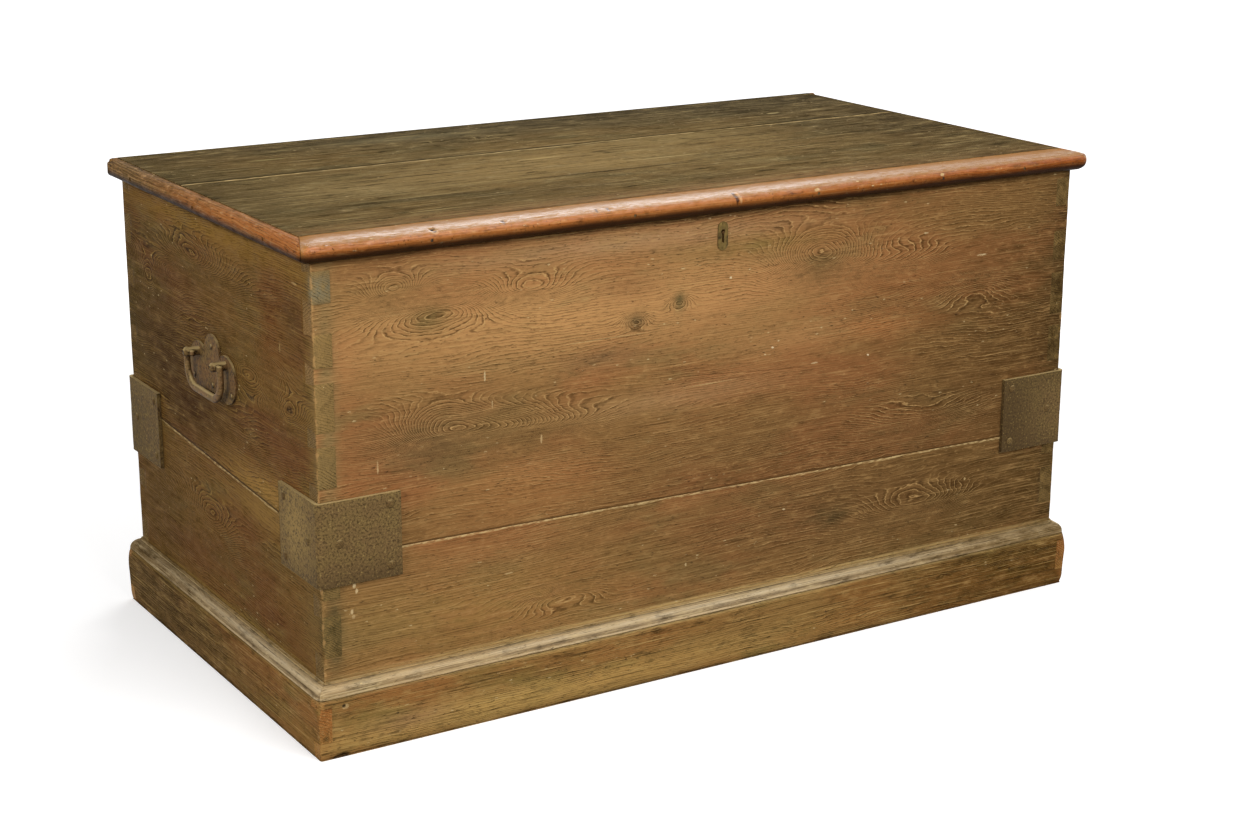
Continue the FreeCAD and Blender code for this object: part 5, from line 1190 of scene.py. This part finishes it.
class CHEST_OT_lock(bpy.types.Operator):
    """Dress the lock, the hook plate on the lid and the keyhole plate"""

    bl_idname = "chest.lock"
    bl_label = "Lock and keyhole"

    def execute(self, context):
        steel = patinated_metal("dull_lock_steel", "#5f574b", "#37302a", "#8c8474", 0.5, 0.85)
        brass = patinated_metal("aged_brass", LOOKS.brass, "#1f180d", "#85703f", 0.5, 0.9)
        for node in ("lock_case", "lock_cap", "hook_plate", "lock_bolt"):
            carved(node, steel, 0.0003)
        for node in ("lock_rivets", "lock_ward", "lock_key_pin", "lock_spring",
                     "hook_plate_screws"):
            carved(node, steel, 0.0)
        carved("keyhole_escutcheon", brass, 0.0004, (), None, segments=2, sharp=50.0)
        carved("escutcheon_pins", brass, 0.0002)
        return {"FINISHED"}


class CHEST_OT_nails(bpy.types.Operator):
    """Sink the brads of the plinth and the nosing into the wood, and dress those of the bottom"""

    bl_idname = "chest.nails"
    bl_label = "Nails"

    def execute(self, context):
        iron = rusted_iron("rusted_iron_brads", "#3f3122", "#6b5436", "#241a12", grain_mm=1.5)

        def sunk_plinth(place, normal):
            if abs(place.x) > HALF_WIDE + 0.005:
                place.x -= math.copysign(WEAR.nail_sink, place.x)
            if abs(place.y) > HALF_DEEP + 0.005:
                place.y -= math.copysign(WEAR.nail_sink, place.y)
            return place

        for node in ("plinth_nails", "nosing_nails"):
            carved(node, iron, 0.0, (), sunk_plinth)
        carved("bottom_nails", iron, 0.0)
        return {"FINISHED"}


def seen_background(tree):
    """1 for a ray that shows the white background: to the camera, or in gloss or glass."""
    path = ("ShaderNodeLightPath", {})
    seen = add(tree, MOST, add(tree, path, out="Is Camera Ray"),
               add(tree, path, out="Is Glossy Ray"))
    return add(tree, MOST, seen, add(tree, path, out="Is Transmission Ray"))


class CHEST_OT_stage(bpy.types.Operator):
    """Set up the floor, the studio light and the camera"""

    bl_idname = "chest.stage"
    bl_label = "Stage"

    def execute(self, context):
        self.make_floor()
        self.make_world(context)
        self.make_lamps()
        self.make_camera(context)
        return {"FINISHED"}

    def make_floor(self):
        bm = bmesh.new()
        bmesh.ops.create_grid(bm, x_segments=1, y_segments=1, size=30.0)
        mesh = bpy.data.meshes.new("studio_floor")
        bm.to_mesh(mesh)
        bm.free()
        # Matt white paper: it keeps the soft shadow and fades to pure white further out
        material = bpy.data.materials.new("white_paper_floor")
        material.use_nodes = True
        tree = material.node_tree
        tree.nodes.clear()
        end = tree.nodes.new("ShaderNodeOutputMaterial")
        reach = add(tree, REACH, add(tree, PLACE, out="Object"))
        glow = add(tree, EASE, reach, 0.9, 3.0, 0.42, 1.0)
        paper = add(tree, DULL, "#e6e6e6")
        white = add(tree, BOTH, paper, add(tree, GLOW, "#ffffff", glow))
        surface = add(tree, EITHER, seen_background(tree), add(tree, DULL, "#9a9a96"), white)
        tree.links.new(surface, end.inputs["Surface"])
        mesh.materials.append(material)
        floor = bpy.data.objects.new("studio_floor", mesh)
        bpy.context.scene.collection.objects.link(floor)

    def make_world(self, context):
        world = bpy.data.worlds.new("studio_world")
        context.scene.world = world
        world.use_nodes = True
        tree = world.node_tree
        tree.nodes.clear()
        end = tree.nodes.new("ShaderNodeOutputWorld")
        strength = add(tree, RAMP, seen_background(tree), 0.0, 1.0, 0.28, 1.0)
        light = add(tree, SKY, "#ffffff", strength)
        tree.links.new(light, end.inputs["Surface"])

    def make_lamps(self):
        lamps = (
            ("key_softbox", (0.2, -3.2, 2.1), (-0.15, 0.0, 0.35), (2.0, 1.4), 92.0),
            ("overhead_strip", (1.15, 0.1, 2.7), (-0.1, -0.2, 0.64), (2.2, 0.6), 18.0),
            ("rim_strip", (1.25, 2.0, 2.0), (-0.25, -0.3, 0.64), (1.4, 0.5), 26.0),
            ("left_softbox", (-3.2, -1.2, 1.6), (-0.4, 0.0, 0.35), (1.4, 1.2), 58.0),
        )
        for name, place, target, size, power in lamps:
            lamp = bpy.data.lights.new(name, "AREA")
            lamp.shape = "RECTANGLE"
            lamp.size, lamp.size_y = size
            lamp.energy = power
            holder = bpy.data.objects.new(name, lamp)
            holder.location = place
            way = Vector(target) - Vector(place)
            holder.rotation_euler = way.to_track_quat("-Z", "Y").to_euler()
            bpy.context.scene.collection.objects.link(holder)

    def make_camera(self, context):
        camera = bpy.data.cameras.new("photo_camera")
        camera.sensor_width = 36.0
        camera.lens = PHOTO_FOCAL / PHOTO_WIDE * camera.sensor_width
        camera.clip_end = 100.0
        holder = bpy.data.objects.new("photo_camera", camera)
        azimuth, elevation, roll = CAMERA_ANGLES
        look = Vector((math.sin(azimuth) * math.cos(elevation),
                       math.cos(azimuth) * math.cos(elevation), -math.sin(elevation)))
        right = Vector((math.cos(azimuth), -math.sin(azimuth), 0.0))
        up = right.cross(look)
        level_right = right * math.cos(roll) + up * math.sin(roll)
        level_up = up * math.cos(roll) - right * math.sin(roll)
        turn = Matrix((level_right, level_up, -look)).transposed().to_4x4()
        holder.matrix_world = Matrix.Translation(CAMERA_PLACE) @ turn
        context.scene.collection.objects.link(holder)
        context.scene.camera = holder
        context.scene.view_settings.view_transform = "Standard"


class CHEST_PT_panel(bpy.types.Panel):
    """Lists the steps that build the chest"""

    bl_idname = "CHEST_PT_panel"
    bl_label = "Lidded pine chest"
    bl_space_type = "VIEW_3D"
    bl_region_type = "UI"
    bl_category = "Chest"

    def draw(self, context):
        for step in STEPS:
            self.layout.operator(step.bl_idname)
        for group in (context.scene.chest_wear, context.scene.chest_colours):
            for name in group.__annotations__:
                self.layout.prop(group, name)


STEPS = (CHEST_OT_carcase, CHEST_OT_bottom, CHEST_OT_plinth, CHEST_OT_lid,
         CHEST_OT_corner_plates, CHEST_OT_handles, CHEST_OT_hinges, CHEST_OT_lock,
         CHEST_OT_nails, CHEST_OT_stage)
CLASSES = (ChestWear, ChestColours, *STEPS, CHEST_PT_panel)


def register():
    for one in CLASSES:
        bpy.utils.register_class(one)
    bpy.types.Scene.chest_wear = bpy.props.PointerProperty(type=ChestWear)
    bpy.types.Scene.chest_colours = bpy.props.PointerProperty(type=ChestColours)


def unregister():
    del bpy.types.Scene.chest_colours
    del bpy.types.Scene.chest_wear
    for one in reversed(CLASSES):
        bpy.utils.unregister_class(one)


def main():
    """Builds every piece."""
    global WEAR, LOOKS
    register()
    WEAR = bpy.context.scene.chest_wear
    LOOKS = bpy.context.scene.chest_colours
    bpy.ops.chest.carcase()
    bpy.ops.chest.bottom()
    bpy.ops.chest.plinth()
    bpy.ops.chest.lid()
    bpy.ops.chest.corner_plates()
    bpy.ops.chest.handles()
    bpy.ops.chest.hinges()
    bpy.ops.chest.lock()
    bpy.ops.chest.nails()
    bpy.ops.chest.stage()
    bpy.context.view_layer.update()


if __name__ == "__main__":
    main()
